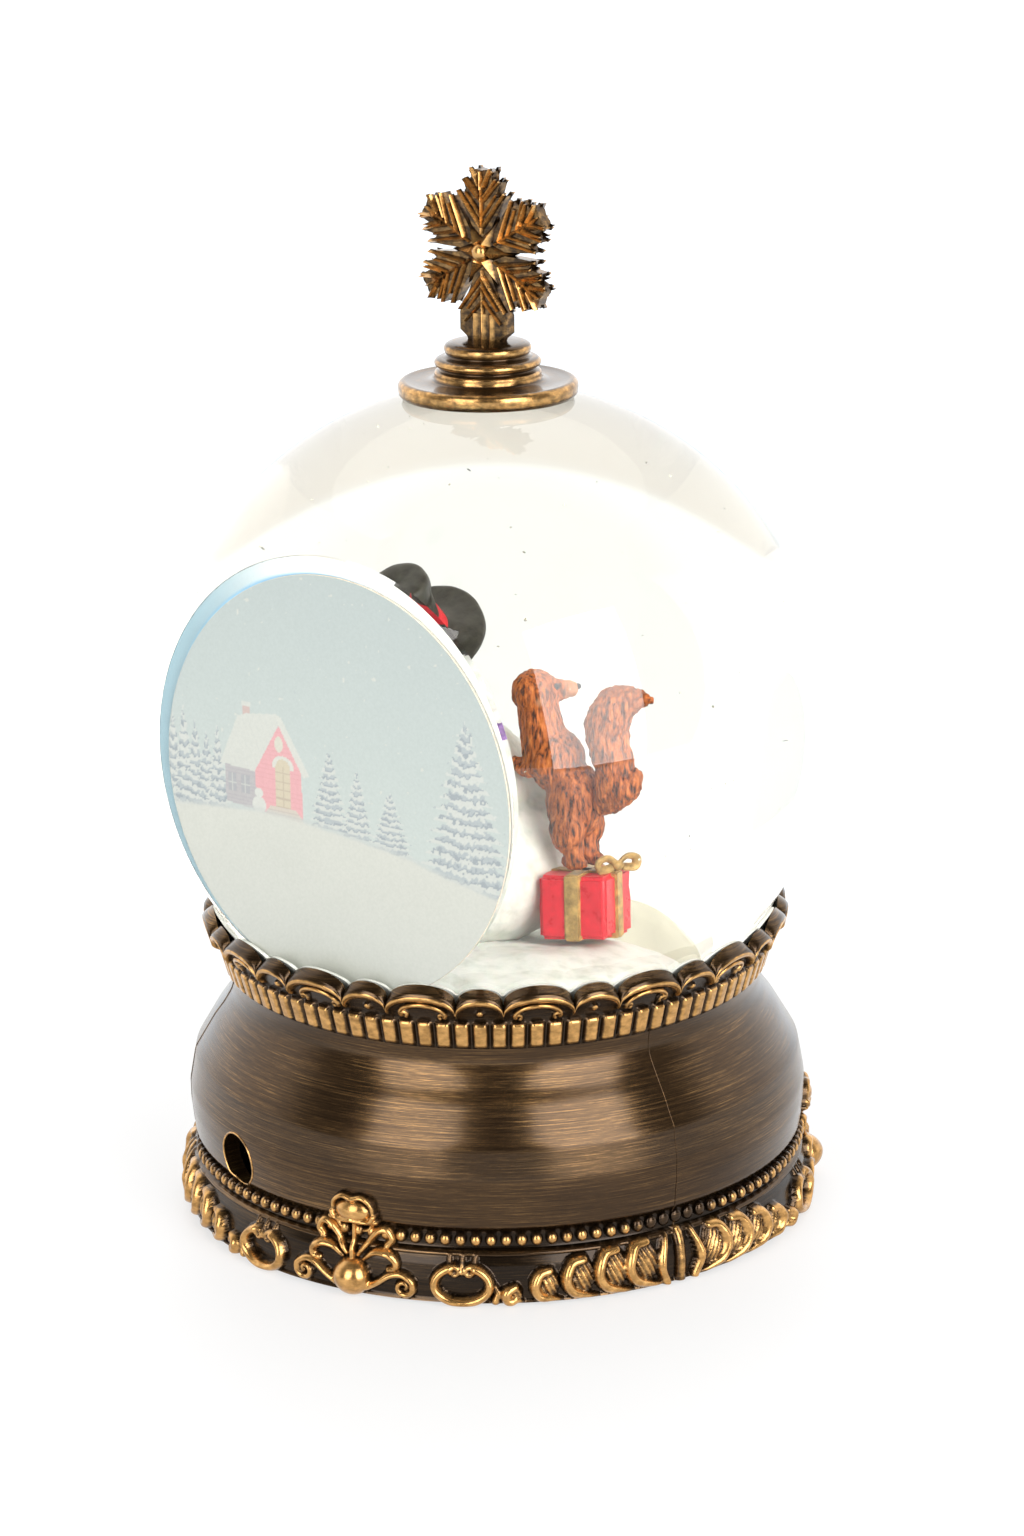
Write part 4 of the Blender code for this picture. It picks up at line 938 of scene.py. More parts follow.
SKY = ((0.52, 0.62, 0.68), (0.70, 0.80, 0.83))
MILK = 0.45  # how much of the print's colour its white backing hides from behind
MILK_COLOUR = (0.80, 0.86, 0.88)
# Painted shade: the milky back of the print is darkened to match the dim light that falls on it.
PRINT_BACK_SHADE = (0.545, 0.535, 0.48)
HILL = (  # the snow line
    (-33, -8.2), (-28, -8.2), (-13.7, -6.9), (-4.9, -7.2),
    (3.4, -8.0), (13.8, -9.2), (20, -10.7), (33, -13.0),
)
# Each fir's middle, top, foot and half width
FIRS = ((0.1, 4.2, -7.4, 3.7), (5.1, 2.3, -7.9, 2.8), (11.0, 0.0, -10.0, 4.1), (24.4, 12.5, -13.8, 8.6))


def polygon(across, up, corners):
    """True inside a polygon, by counting crossings."""
    inside = np.zeros(across.shape, bool)
    for (x0, y0), (x1, y1) in zip(corners, [*corners[1:], corners[0]]):
        crosses = (y0 > up) != (y1 > up)
        inside ^= crosses & (across < (x1 - x0) * (up - y0) / ((y1 - y0) or 1e-9) + x0)
    return inside


def paint(colours, mask, colour):
    """Lays a colour over the picture where mask, from 0 to 1, says."""
    mask = np.asarray(mask, float)[:, None]
    colours *= 1 - mask
    colours += mask * np.array(colour)


def paint_fir(colours, across, up, grain, fir):
    """A fir of ragged boughs, each darker below and laden with snow on top."""
    centre, top, bottom, half = fir
    t = (top - up) / (top - bottom)
    boughs = 7 + half
    step = (t * boughs) % 1
    edge = half * np.clip(t, 0, 1) ** 0.85 * (0.62 + 0.5 * step) + grain * 0.16 * half
    inside = (np.abs(across - centre) < edge) & (t > 0) & (t < 1)
    width = np.maximum(half * np.clip(t, 0.05, 1), 0.3)
    droop = step + 0.35 * np.abs(across - centre) / width + 0.55 * grain
    paint(colours, inside, (0.42, 0.49, 0.60))
    paint(colours, inside & (droop % 1 < 0.46), (0.84, 0.86, 0.87))
    paint(colours, inside & (droop % 1 > 0.80), (0.20, 0.26, 0.38))


def paint_cottage(colours, across, up):
    """A red cottage with snow on its roof, a chimney, an arched door and a lower wing."""
    snow = (0.86, 0.86, 0.84)
    wing = [(-19.2, 0.2), (-19.0, -6.4), (-13.3, -6.9), (-13.3, 0.4)]
    front = [(-13.5, -0.9), (-8.9, 6.5), (-5.0, 0.0), (-4.8, -7.0), (-13.3, -6.9)]
    roof = [
        (-20.1, -0.8), (-16.6, 6.6), (-15.0, 7.3), (-9.6, 8.0), (-8.6, 7.6), (-9.1, 6.2), (-13.6, -1.1),
    ]
    chimney = [(-15.6, 6.0), (-15.6, 8.6), (-14.2, 8.6), (-14.2, 6.0)]
    eave = [(-9.6, 8.1), (-8.5, 7.7), (-3.5, -0.2), (-4.6, -0.7), (-8.9, 6.3)]
    paint(colours, polygon(across, up, chimney), (0.76, 0.42, 0.40))
    paint(colours, polygon(across, up, [(-15.8, 8.3), (-15.8, 9.0), (-14.0, 9.0), (-14.0, 8.3)]), snow)
    paint(colours, polygon(across, up, wing), (0.52, 0.44, 0.52))
    boards = (np.abs((up * 1.8) % 1 - 0.5) < 0.12) & polygon(across, up, wing)
    paint(colours, boards, (0.44, 0.37, 0.47))
    for sill in (-17.8, -15.4):
        pane = (np.abs(across - sill) < 0.8) & (np.abs(up + 3.4) < 1.4)
        paint(colours, pane, (0.36, 0.34, 0.44))
        bars = (np.abs(across - sill) < 0.10) | (np.abs(up + 3.4) < 0.10)
        paint(colours, pane & bars, (0.72, 0.70, 0.72))
    paint(colours, polygon(across, up, front), (1.30, 0.30, 0.40))
    boards = (np.abs((up * 1.4) % 1 - 0.5) < 0.10) & polygon(across, up, front)
    paint(colours, boards, (1.10, 0.24, 0.34))
    paint(colours, polygon(across, up, roof), snow)
    shade = polygon(across, up, roof) & (np.abs((across * 0.9 + 0.4 * up) % 1 - 0.5) < 0.05)
    paint(colours, 0.5 * shade, (0.72, 0.74, 0.78))
    paint(colours, polygon(across, up, eave), (0.90, 0.89, 0.86))
    door = (np.abs(across + 8.35) < 1.35) & (up < 0.3) & (up > -5.8)
    arch = (np.hypot((across + 8.35) / 2.0, (up - 0.3) / 1.7) < 1) & (up > 0.1)
    paint(colours, arch, (0.93, 0.90, 0.86))
    paint(colours, door | (np.hypot(across + 8.35, up - 0.2) < 1.30), (0.86, 0.66, 0.40))
    paint(colours, door & (np.abs(across + 8.35) < 0.12), (0.62, 0.40, 0.24))
    paint(colours, door & (np.abs((up * 0.8) % 1 - 0.5) < 0.07), (0.62, 0.40, 0.24))
    paint(colours, np.hypot((across + 9.0) / 0.75, (up - 3.6) / 1.15) < 1, (0.92, 0.86, 0.72))
    steps = [(-10.9, -5.8), (-6.0, -5.8), (-4.4, -7.6), (-12.0, -7.4)]
    paint(colours, polygon(across, up, steps), (0.84, 0.66, 0.56))
    for row in (-6.3, -6.9):
        paint(colours, polygon(across, up, steps) & (np.abs(up - row) < 0.10), (0.66, 0.48, 0.44))
    paint(colours, np.hypot(across + 12.9, up + 6.0) < 1.25, (0.90, 0.90, 0.89))
    paint(colours, np.hypot(across + 12.9, up + 4.2) < 0.75, (0.92, 0.92, 0.91))


def picture(across, up, vivid):
    """The colour of the print at each point; vivid is its printed side, else the milky back."""
    points = np.stack([across, up, 0 * up], -1)
    fine = noise_at(points, (1.6, 1.6, 1), 3.0)
    broad = noise_at(points, (0.12, 0.12, 1), 11.0)
    coarse = noise_at(points, (0.5, 0.5, 1), 7.0)
    hill = np.interp(across, [x for x, _ in HILL], [y for _, y in HILL])
    t = np.clip((up - hill) / 36 + 0.06 * broad, 0, 1)[:, None]
    colours = np.array(SKY[1]) * (1 - t) + np.array(SKY[0]) * t
    specks = (noise_at(points, (1.1, 1.1, 1), 40.0) > 0.66) & (up > hill)
    paint(colours, specks, (0.88, 0.88, 0.84))
    paint(colours, (noise_at(points, (0.8, 0.8, 1), 90.0) > 0.74) & (up > hill), (0.52, 0.60, 0.68))
    for place in np.arange(-31, -19, 2.1):
        top = 5.5 - 0.18 * abs(place + 26) + 1.5 * math.sin(place * 2.3)
        paint_fir(colours, across, up, 0.7 * fine + 0.3 * coarse, (place, top, -9.0, 2.6))
    paint_cottage(colours, across, up)
    for fir in FIRS:
        paint_fir(colours, across, up, 0.75 * fine + 0.25 * coarse, fir)
    snow = smooth_step(-0.35, 0.35, hill + 0.25 * coarse - up)
    depth = np.clip((hill - up) / 22, 0, 1)[:, None]
    ground = np.array((0.86, 0.85, 0.81)) * (1 - depth) + np.array((0.77, 0.78, 0.77)) * depth
    ground = ground * (1 + 0.03 * broad[:, None] + 0.015 * coarse[:, None])
    colours = colours * (1 - snow[:, None]) + ground * snow[:, None]
    paint(colours, 0.5 * smooth_step(0.0, 0.5, 0.6 - np.abs(hill + 0.2 - up)), (0.66, 0.68, 0.74))
    if not vivid:
        milky = MILK * np.array(MILK_COLOUR) + (1 - MILK) * colours
        # Painted shade darkens the milky back.
        return np.clip(milky, 0, 1) * np.array(PRINT_BACK_SHADE)
    grey = colours.mean(1, keepdims=True)
    rich = grey + (colours - grey) * 2.6
    rich = np.clip(rich * np.array((0.72, 0.93, 1.06)), 0.01, 1) ** 1.25
    border = smooth_step(FILM_RADIUS - 1.6, FILM_RADIUS - 0.8, np.hypot(across, up))[:, None]
    side = smooth_step(-26, 2, across)[:, None]
    pale = np.array((0.30, 0.44, 0.52)) * (1 - side) + np.array((0.86, 0.87, 0.86)) * side
    return rich * (1 - border) + pale * border


def add_film_side(name, centre, depth, radius, spacing, facing):
    """One side of the film: a disc of fine squares, each point with its own printed colour."""
    steps = np.arange(-radius, radius + spacing, spacing)
    x, z = np.meshgrid(steps, steps)
    reach = np.hypot(x, z)
    shrink = np.minimum(1, radius / np.maximum(reach, 1e-6))
    x, z = x * shrink, z * shrink
    count = len(steps)
    row, column = np.meshgrid(np.arange(count - 1), np.arange(count - 1), indexing="ij")
    first = row * count + column
    corners = np.stack([first, first + 1, first + 1 + count, first + count], -1).reshape(-1, 4)
    inside = (reach.ravel()[corners] < radius + spacing).sum(1) == 4
    faces = corners[inside] if facing < 0 else corners[inside][:, ::-1]
    used, index = np.unique(faces, return_inverse=True)
    points = np.stack([centre[0] + x.ravel(), np.full(x.size, depth), centre[1] + z.ravel()], -1)[used]
    mesh = mesh_of(name, points, index.reshape(faces.shape))
    across, up = -points[:, 0], points[:, 2] - GLOBE_HEIGHT
    write_colours(mesh, "print", picture(across, up, facing < 0))
    put(name, mesh, "print", "backdrop_film")


def add_film():
    low, high = cad_box("backdrop_film")
    thick = high.y - low.y
    back_spacing, front_spacing = ((0.17, 0.3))
    middle_of_film = (FILM_CENTRE.x, FILM_CENTRE.z)
    add_film_side("picture_back", middle_of_film, high.y, FILM_RADIUS, back_spacing, 1)
    in_window = WINDOW_DEPTH - 0.05
    add_film_side("picture_front", (0, GLOBE_HEIGHT), in_window, WINDOW_RADIUS, front_spacing, -1)
    inside = FILM_RADIUS - 0.05
    edge = turned_mesh(
        "picture_edge", [(inside, 0), (FILM_RADIUS, 0), (FILM_RADIUS, thick), (inside, thick)]
    )
    rim = Vector((FILM_CENTRE.x, high.y, FILM_CENTRE.z)) * MM
    edge.transform(Matrix.Translation(rim) @ Matrix.Rotation(math.radians(90), 4, "X"))
    put("picture_edge", edge, "cream", "backdrop_film")


# ---- The figures ----


def add_mound():
    edge = MOUND_TOP - 4.0
    profile = rounded([
        (0.05, MOUND_TOP - 7), (MOUND_RADIUS - 2, MOUND_TOP - 7), (MOUND_RADIUS - 0.2, edge - 1.4),
        (MOUND_RADIUS - 0.6, edge), (MOUND_RADIUS - 3.5, edge + 1.6), (MOUND_RADIUS - 9, MOUND_TOP - 0.3),
        (4, MOUND_TOP - 0.2), (0.05, MOUND_TOP - 0.2),
    ], 6)
    lengths = np.concatenate([[0], np.cumsum([math.dist(a, b) for a, b in zip(profile, profile[1:])])])
    even = np.linspace(0, lengths[-1], 46)
    radii, heights = np.array(profile).T
    outline = np.stack([np.interp(even, lengths, radii), np.interp(even, lengths, heights)], 1)
    mesh = turned_mesh("snow_mound_drifts", outline, 200, closed=False)
    roughen(mesh, (0.30, 0.22, 0.0), (0.10, 0.9, 5.0), sink=0.22)
    put("snow_mound_drifts", mesh, "snow", "snow_mound", 60)


SNOWMAN = Vector((14.2, 1.6, 0)) + Vector((GIFT.x, GIFT.y, MOUND_TOP))
HEAD = SNOWMAN + Vector((3.8, 2.8, 25.7))
# The two balls of its body: middle, half width and half height under the buttons, and their heights
BELLIES = (
    (Vector((1.2, 0.6, 16.6)), 8.0, 6.7, (19.6, 16.4)),
    (rise(7.0), 10.9, 8.7, (12.2, 8.6)),
)


def add_snowman():
    shape = bmesh.new()
    add_ball(shape, SNOWMAN + rise(7.0), 11.2, (1, 1, 0.78), segments=32)
    add_ball(shape, SNOWMAN + Vector((1.2, 0.6, 16.6)), 8.1, (1, 1, 0.82), segments=32)
    add_rod(shape, SNOWMAN + Vector((2.2, 1.4, 18)), HEAD - rise(1), 4.6, 4.2)
    add_ball(shape, HEAD, 5.5, (1, 1, 0.95), segments=28)
    for side in (-1, 1):
        shoulder = SNOWMAN + Vector((1.2 + side * 6.2, -2.2, 18.2))
        add_rod(shape, shoulder, shoulder + Vector((side * 2.4, -4.4, -4.6)), 2.3, 1.9)
        add_ball(shape, shoulder + Vector((side * 2.4, -4.8, -5.0)), 2.2)
    skin = fused("snowman_body", shape, 0.32, 5)
    roughen(skin, (0.14, 0.7, 0.0), (0.05, 2.4, 9.0))
    put("snowman_body", skin, "snow", "snowman", 70)


def add_snowman_face():
    """The eyes, the mouth, the buttons and the carrot nose."""
    face = Vector((0.05, -1.0, 0.0))
    side = Vector((1.0, 0.05, 0.0))
    dots = bmesh.new()
    for way in (-1, 1):
        add_ball(dots, HEAD + face * 4.9 + side * 1.9 * way + rise(1.1), 0.62, segments=14)
    for angle in (-40, -20, 0, 20, 40):
        turn = math.radians(angle)
        spot = face * (5.15 - 0.5 * abs(math.sin(turn))) + side * 2.9 * math.sin(turn)
        add_ball(dots, HEAD + spot - rise(1.2 + 1.3 * math.cos(turn)), 0.3, segments=10)
    for belly, reach, tall, heights in BELLIES:
        for height in heights:
            out = reach * math.sqrt(1 - ((height - belly.z) / tall) ** 2)
            button = SNOWMAN + Vector((belly.x, belly.y, height)) + face * out
            add_ball(dots, button, 0.85, (1, 0.6, 1), segments=14)
    put("snowman_eyes_buttons", mesh_from("dots", dots), "eye", "snowman")
    nose = bmesh.new()
    reaches = (4.6, 6.4, 8.2, 9.6)
    nose_points = [HEAD + face * reach - rise(0.1 * index) for index, reach in enumerate(reaches)]
    add_tube(nose, smooth_route(nose_points), (1.15, 0.95, 0.6, 0.2), 14)
    put("snowman_nose", mesh_from("nose", nose), "carrot", "snowman")


def add_scarf():
    scarf = bmesh.new()
    neck = SNOWMAN + Vector((2.4, 1.5, 21.2))
    ring = [neck + Vector((5.3 * math.sin(a), -5.3 * math.cos(a), 0.35 * math.sin(3 * a)))
            for a in np.linspace(0, 2 * math.pi, 49)]
    add_tube(scarf, ring, (1.35, 1.35), 12, 0.75)
    drops = ((-2.4, -5.2, 0.2), (-3.2, -6.9, -2.4), (-3.4, -8.0, -5.4), (-3.8, -8.6, -8.6))
    tail = [neck + Vector(drop) for drop in drops]
    add_tube(scarf, smooth_route(tail), (1.2, 1.3, 1.5), 12, 0.45)
    skin = fused("snowman_scarf", scarf, 0.22, 2)
    points, _ = points_of(skin)
    push(skin, 0.10 * np.sin(points[:, 2] * 9.0) * np.cos(np.arctan2(points[:, 0], points[:, 1]) * 60))
    put("snowman_scarf", skin, "purple", "snowman", 70)


def add_hat():
    centre = Vector((SNOWMAN.x + 4.2, SNOWMAN.y + 3.3, MOUND_TOP + 31.9))
    lean = Matrix.Rotation(math.radians(3), 4, "Y") @ Matrix.Rotation(math.radians(-27), 4, "X")
    tilt = Matrix.Scale(MM, 4) @ (Matrix.Translation(centre) @ lean) @ Matrix.Scale(1 / MM, 4)
    outline = [
        (0.02, 0.9), (4.6, 0.5), (7.0, 0.0), (7.6, 0.2), (7.7, 0.8), (7.0, 1.1), (4.4, 1.3),
        (3.6, 1.7), (3.1, 3.4), (3.2, 5.8), (3.7, 8.2), (3.5, 9.0), (2.6, 9.25), (0.02, 9.0),
    ]
    points = np.array(rounded(outline, 6))
    azimuths = around(120)
    radius = points[:, :1] + 0 * azimuths
    curl = 0.9 * (np.clip(points[:, :1] - 4.8, 0, 4) / 2.9) ** 2 * np.cos(np.radians(2 * azimuths))
    height = points[:, 1:] + curl * 0.7
    mesh = ring_mesh("top_hat_felt", radius, height, azimuths, closed=False)
    mesh.transform(tilt)
    roughen(mesh, (0.10, 0.6, 2.0))
    put("top_hat_felt", mesh, "hat", "top_hat", 50)
    band = turned_mesh("top_hat_band", [(3.3, 1.6), (3.75, 1.7), (3.4, 3.4), (3.0, 3.5)], 90)
    band.transform(tilt)
    put("top_hat_band", band, "band", "top_hat")


LEAN = Vector((0.99, 0.12, 0.0)).normalized()
LEFT = Vector((-LEAN.y, LEAN.x, 0))
SQUIRREL = Vector((GIFT.x - 0.7, GIFT.y + 0.6, GIFT_HIGH.z + 0.25))
SIZE = 1.1


def squirrel_point(forward, side, height):
    """A point by the squirrel: forward towards the snowman, side to its left, height over the gift."""
    return SQUIRREL + SIZE * (forward * LEAN + side * LEFT + rise(height))


def comb(mesh, deep=0.16, seed=0.0):
    """Carves short strokes of hair, longer along the height."""
    roughen(mesh, (deep, (2.2, 2.2, 0.75), seed), (0.5 * deep, (4.5, 4.5, 1.4), seed + 9))


LOOK_WAY = Vector((-0.55, -0.83, -0.02)).normalized()
EAR_WAY = LOOK_WAY.cross(rise(1)).normalized()


def add_squirrel():
    shape = bmesh.new()
    add_ball(shape, squirrel_point(1.1, 0, 7.1), 3.25, (1.0, 1.0, 1.42))
    add_ball(shape, squirrel_point(3.0, 0, 11.0), 3.2, (1.0, 1.0, 1.15))
    add_rod(shape, squirrel_point(4.2, 0, 11.4), squirrel_point(5.3, 0, 16.8), 2.8, 2.3)
    head = squirrel_point(5.5, 0, 17.9)
    add_ball(shape, head, 2.7, (1.0, 1.0, 0.95))
    add_rod(shape, head + LOOK_WAY * 1.6, head + LOOK_WAY * 4.1, 1.5, 0.95)
    add_ball(shape, head + LOOK_WAY * 4.1, 0.97)
    for side in (-1, 1):
        add_ball(shape, squirrel_point(0.9, side * 1.9, 4.4), 2.0, (1.1, 0.8, 1.35))
        hip, heel = squirrel_point(0.9, side * 1.3, 4.0), squirrel_point(0.3, side * 1.4, 1.3)
        add_rod(shape, hip, heel, 1.5, 1.1)
        add_ball(shape, squirrel_point(0.3, side * 1.5, 0.95), 1.1, (1.7, 0.9, 0.75))
        shoulder = squirrel_point(3.4, side * 1.9, 11.0)
        add_ball(shape, shoulder, 1.5)
        elbow = squirrel_point(5.6, side * 1.7, 9.6 + side * 0.5)
        paw = squirrel_point(7.2, side * 1.2, 10.2 + side * 0.3)
        add_rod(shape, shoulder, elbow, 1.25, 0.95)
        add_rod(shape, elbow, paw, 0.95, 0.7)
        add_ball(shape, paw, 0.85)
        ear = head + EAR_WAY * side * 2.05 + rise(-0.5) - LOOK_WAY * 0.3
        add_ball(shape, ear, 0.85, (0.8, 0.8, 1.15))
    skin = fused("squirrel_body", shape, 0.2, 3)
    comb(skin, 0.15)
    points, _ = points_of(skin)
    pale = np.zeros(len(points))
    soft = [(head + LOOK_WAY * 4.2, 0.7, 1.9, 0.6)]
    for side in (-1, 1):
        tip = head + EAR_WAY * side * 2.7 + rise(-0.5) - LOOK_WAY * 0.3
        soft.append((tip, 0.2, 0.8, 0.45))
    for centre, near, far, much in soft:
        reach = np.linalg.norm(points - np.array(centre), axis=1)
        pale = np.maximum(pale, much * (1 - smooth_step(near, far, reach)))
    write_layer(skin, "pale", pale)
    put("squirrel_body", skin, "fur", "squirrel", 80)
    dots = bmesh.new()
    for side in (-1, 1):
        add_ball(dots, head + LOOK_WAY * 2.0 + EAR_WAY * side * 1.5 + rise(0.85), 0.4, segments=12)
    add_ball(dots, head + LOOK_WAY * 5.05 + rise(0.2), 0.36, segments=12)
    put("squirrel_eyes_nose", mesh_from("squirrel_dots", dots), "eye", "squirrel")


TAIL_TUFTS = (  # each a route of (forward, height) and its radii along the way
    (((-1.6, 6.6), (-3.2, 8.4), (-3.9, 11.0), (-3.3, 13.6),
      (-3.2, 15.6), (-4.4, 17.6), (-6.6, 18.7), (-9.1, 19.0)),
     (0.9, 2.1, 2.7, 2.8, 3.0, 2.8, 1.6, 0.3)),
    (((-1.8, 6.4), (-3.6, 7.8), (-5.2, 9.0), (-6.4, 10.2), (-7.0, 11.2)), (0.9, 1.9, 2.0, 1.3, 0.3)),
)


def add_tail():
    shape = bmesh.new()
    for route, radii in TAIL_TUFTS:
        points = smooth_route([squirrel_point(forward, 0, height) for forward, height in route], 5)
        add_tube(shape, points, radii, 20, 0.85)
    skin = fused("squirrel_tail_plume", shape, 0.2, 3)
    comb(skin, 0.30, 30.0)
    put("squirrel_tail_plume", skin, "fur", "squirrel_tail", 80)


def soft_block(shape, size, matrix, bevel, segments=3):
    made = bmesh.ops.create_cube(shape, size=1.0, matrix=matrix @ Matrix.Diagonal((*size, 1)))
    edges = list({edge for vert in made["verts"] for edge in vert.link_edges})
    bmesh.ops.bevel(shape, geom=edges, offset=bevel, segments=segments, affect="EDGES")


GIFT_TURN = math.radians(20)


def add_gift():
    width, depth, height = 8.0, 8.0, GIFT_HIGH.z - GIFT_LOW.z
    turn = Matrix.Rotation(GIFT_TURN, 4, "Z")
    place = Matrix.Translation(GIFT + rise(height / 2)) @ turn
    box = bmesh.new()
    soft_block(box, (width, depth, height), place, 0.45)
    bmesh.ops.subdivide_edges(box, edges=box.edges[:], cuts=3, use_grid_fill=True)
    mesh = mesh_from("gift_box_paper", box)
    roughen(mesh, (0.16, 0.45, 4.0), sink=0.05)
    put("gift_box_paper", mesh, "red", "gift_box", 60)
    ribbon = bmesh.new()
    soft_block(ribbon, (width + 0.5, 1.9, height + 0.3), place, 0.2, 2)
    soft_block(ribbon, (1.9, depth + 0.5, height + 0.3), place, 0.2, 2)
    mesh = mesh_from("gift_ribbon", ribbon)
    put("gift_ribbon", mesh, "gold", "gift_box", 60)
    bow = bmesh.new()
    lid = GIFT_HIGH.z
    knot = Vector((middle("gift_bow").x, middle("gift_bow").y, lid + 0.7))
    add_ball(bow, knot, 0.75, (1, 1, 0.8), segments=14)
    for way in (-1, 1):
        out = Vector((way * 0.35, way * 1.0, 0)).normalized()
        loop = [knot, knot + out * 1.2 + rise(0.9), knot + out * 2.4 + rise(0.6),
                knot + out * 2.2 - rise(0.35), knot + out * 0.6 - rise(0.2)]
        add_tube(bow, smooth_route(loop), (0.45, 0.6, 0.5), 10, 0.6)
    put("gift_bow_loops", mesh_from("gift_bow_loops", bow), "gold", "gift_bow")


# ---- The crown piece ----


def add_saucer():
    top = SAUCER_TOP
    under = [(0.02, 123.75), (5.0, 123.55), (9.0, 122.9), (11.6, 122.35), (12.6, 122.25)]
    over = [
        (13.0, 122.7), (13.15, 123.4), (13.1, 124.2), (12.5, 124.75), (11.4, 124.55), (9.2, 124.45),
        (8.0, 124.7), (7.75, 125.3), (7.8, 125.9), (7.2, 126.2), (7.0, 126.5), (7.75, 126.9),
        (7.8, 127.5), (7.2, 127.95), (6.3, 128.05), (5.9, 128.4), (6.3, 128.8), (6.4, 129.5),
        (5.9, 130.1), (4.0, top - 0.1), (0.02, top),
    ]
    outline = [*rounded(under, 2), *rounded(over, 4)]
    mesh = turned_mesh("finial_saucer_turned", outline, 180, closed=False)
    spots, _ = points_of(mesh)
    reach = np.hypot(spots[:, 0], spots[:, 1])
    rims = [(12.9, 124.2), (7.8, 125.6), (7.8, 127.3), (6.4, 129.2), (13.1, 123.4)]
    near = np.min([np.hypot(reach - r, spots[:, 2] - h) for r, h in rims], 0)
    write_layer(mesh, "gold", 0.7 * (1 - smooth_step(0.3, 1.0, near)))
    write_layer(mesh, "hollow", 0 * near)
    put("finial_saucer_turned", mesh, "bronze", "finial_saucer", 50)


def add_bar(shape, start, end, half, low, high, taper=1.0):
    """A ridge with a roof-shaped section between two (x, z) points; low and high are its Y limits."""
    start, end = Vector(start), Vector(end)
    run = (end - start).normalized()
    across = Vector((-run.y, run.x))
    rows = []
    for point, width in ((start, half), (end, half * taper)):
        left, right = point + across * width, point - across * width
        rows.append([
            shape.verts.new((left.x, low, left.y)), shape.verts.new((point.x, high, point.y)),
            shape.verts.new((right.x, low, right.y)),
        ])
    for i in range(3):
        j = (i + 1) % 3
        shape.faces.new((rows[0][i], rows[0][j], rows[1][j], rows[1][i]))
    shape.faces.new(rows[0][::-1])
    shape.faces.new(rows[1])


def add_plate(shape, outline, half_thickness):
    """A flat plate with its outline in XZ."""
    front = [shape.verts.new((x, -half_thickness, z)) for x, z in outline]
    back = [shape.verts.new((x, half_thickness, z)) for x, z in outline]
    shape.faces.new(front)
    shape.faces.new(back[::-1])
    for i in range(len(outline)):
        j = (i + 1) % len(outline)
        shape.faces.new((front[j], front[i], back[i], back[j]))


FLAKE_CENTRE = (FLAKE_LOW.z + FLAKE_HIGH.z) / 2 + 0.3
FLAKE_HALF = (FLAKE_HIGH.y - FLAKE_LOW.y) / 2 - 0.8  # half its thickness, without the raised star
FLAKE_PLATE = 0.62 * FLAKE_HALF


def flake_way(degrees):
    """A direction from the flake's middle, and the one to its right, both in (X, Z)."""
    turn = math.radians(degrees)
    along = Vector((math.sin(turn), math.cos(turn)))
    return along, Vector((along.y, -along.x))


def add_flake_arm(shape, degrees, low_arm):
    """An arm's plate and the ridges on its two faces. The lowest arm widens into a foot."""
    along, out = flake_way(degrees)
    reach = FLAKE_CENTRE - FLAKE_LOW.z if low_arm else FLAKE_HIGH.z - FLAKE_CENTRE
    foot = FLAKE_CENTRE - SAUCER_TOP + 0.1

    def spot(distance, side):
        return along * distance + out * side

    if low_arm:
        sides = [(2.0, 0.9), (6.0, 2.6), (9.0, 4.2), (reach - 0.9, 4.2), (reach, 3.0), (foot, 2.8)]
        end = []
        ribs = [((reach - 3.5, side), (foot, side), 0.8, 0.85, 1.0) for side in (-1.5, 0, 1.5)]
    else:
        sides = [
            (2.0, 0.9), (6.0, 3.0), (8.3, 4.1), (7.9, 2.5),
            (10.2, 3.3), (9.9, 1.8), (11.6, 1.9), (11.9, 0.9),
        ]
        end = [spot(reach - 0.2, 0)]
        tips = ((reach - 0.3, 0.0), (12.1, 1.7), (12.1, -1.7), (10.6, 2.6), (10.6, -2.6))
        ribs = [((far - 2.6, wide * 0.2), (far, wide), 0.85, 1.0, 0.15) for far, wide in tips]
    outline = [spot(far, -wide) for far, wide in sides] + end
    outline += [spot(far, wide) for far, wide in reversed(sides)]
    add_plate(shape, [(p.x, p.y) for p in outline], FLAKE_PLATE)
    # Each ridge's two ends, half width, share of the full height and taper
    barbs = [
        ((3.6, 0.1), (8.6, 4.1), 0.62, 1.0, 0.55), ((5.2, 0.1), (8.4, 2.7), 0.5, 0.93, 0.6),
        ((7.2, 0.1), (10.3, 3.2), 0.5, 0.9, 0.6), ((9.2, 0.1), (11.7, 1.9), 0.5, 0.85, 0.7),
    ]
    ridges = [((2.6, 0), (reach - 1.0, 0), 0.42, 0.9, 0.9), *ribs]
    for side in (-1, 1):
        for (near, start), (far, wide), *rest in barbs[:3] if low_arm else barbs:
            ridges.append(((near, side * start), (far, side * wide), *rest))
    for face in (-1, 1):
        low, high = face * FLAKE_HALF * 0.5, face * (FLAKE_HALF + 0.15)
        for start, stop, width, tall, taper in ridges:
            add_bar(shape, spot(*start), spot(*stop), width, low, high * tall, taper)


def add_star_point(shape, degrees):
    """One point of the star between two arms, on both faces."""
    along, out = flake_way(degrees)
    for face in (-1, 1):
        low, high = face * FLAKE_HALF * 0.4, face * (FLAKE_HALF + 0.75)
        diamond = (along * 1.6 - out * 1.5, along * 5.6, along * 1.6 + out * 1.5, Vector((0, 0)))
        corners = [shape.verts.new((p.x, low, p.y)) for p in diamond]
        crest = shape.verts.new((along.x * 1.5, high, along.y * 1.5))
        for i in range(4):
            shape.faces.new((corners[i], corners[(i + 1) % 4], crest))
        shape.faces.new(corners[::-1])


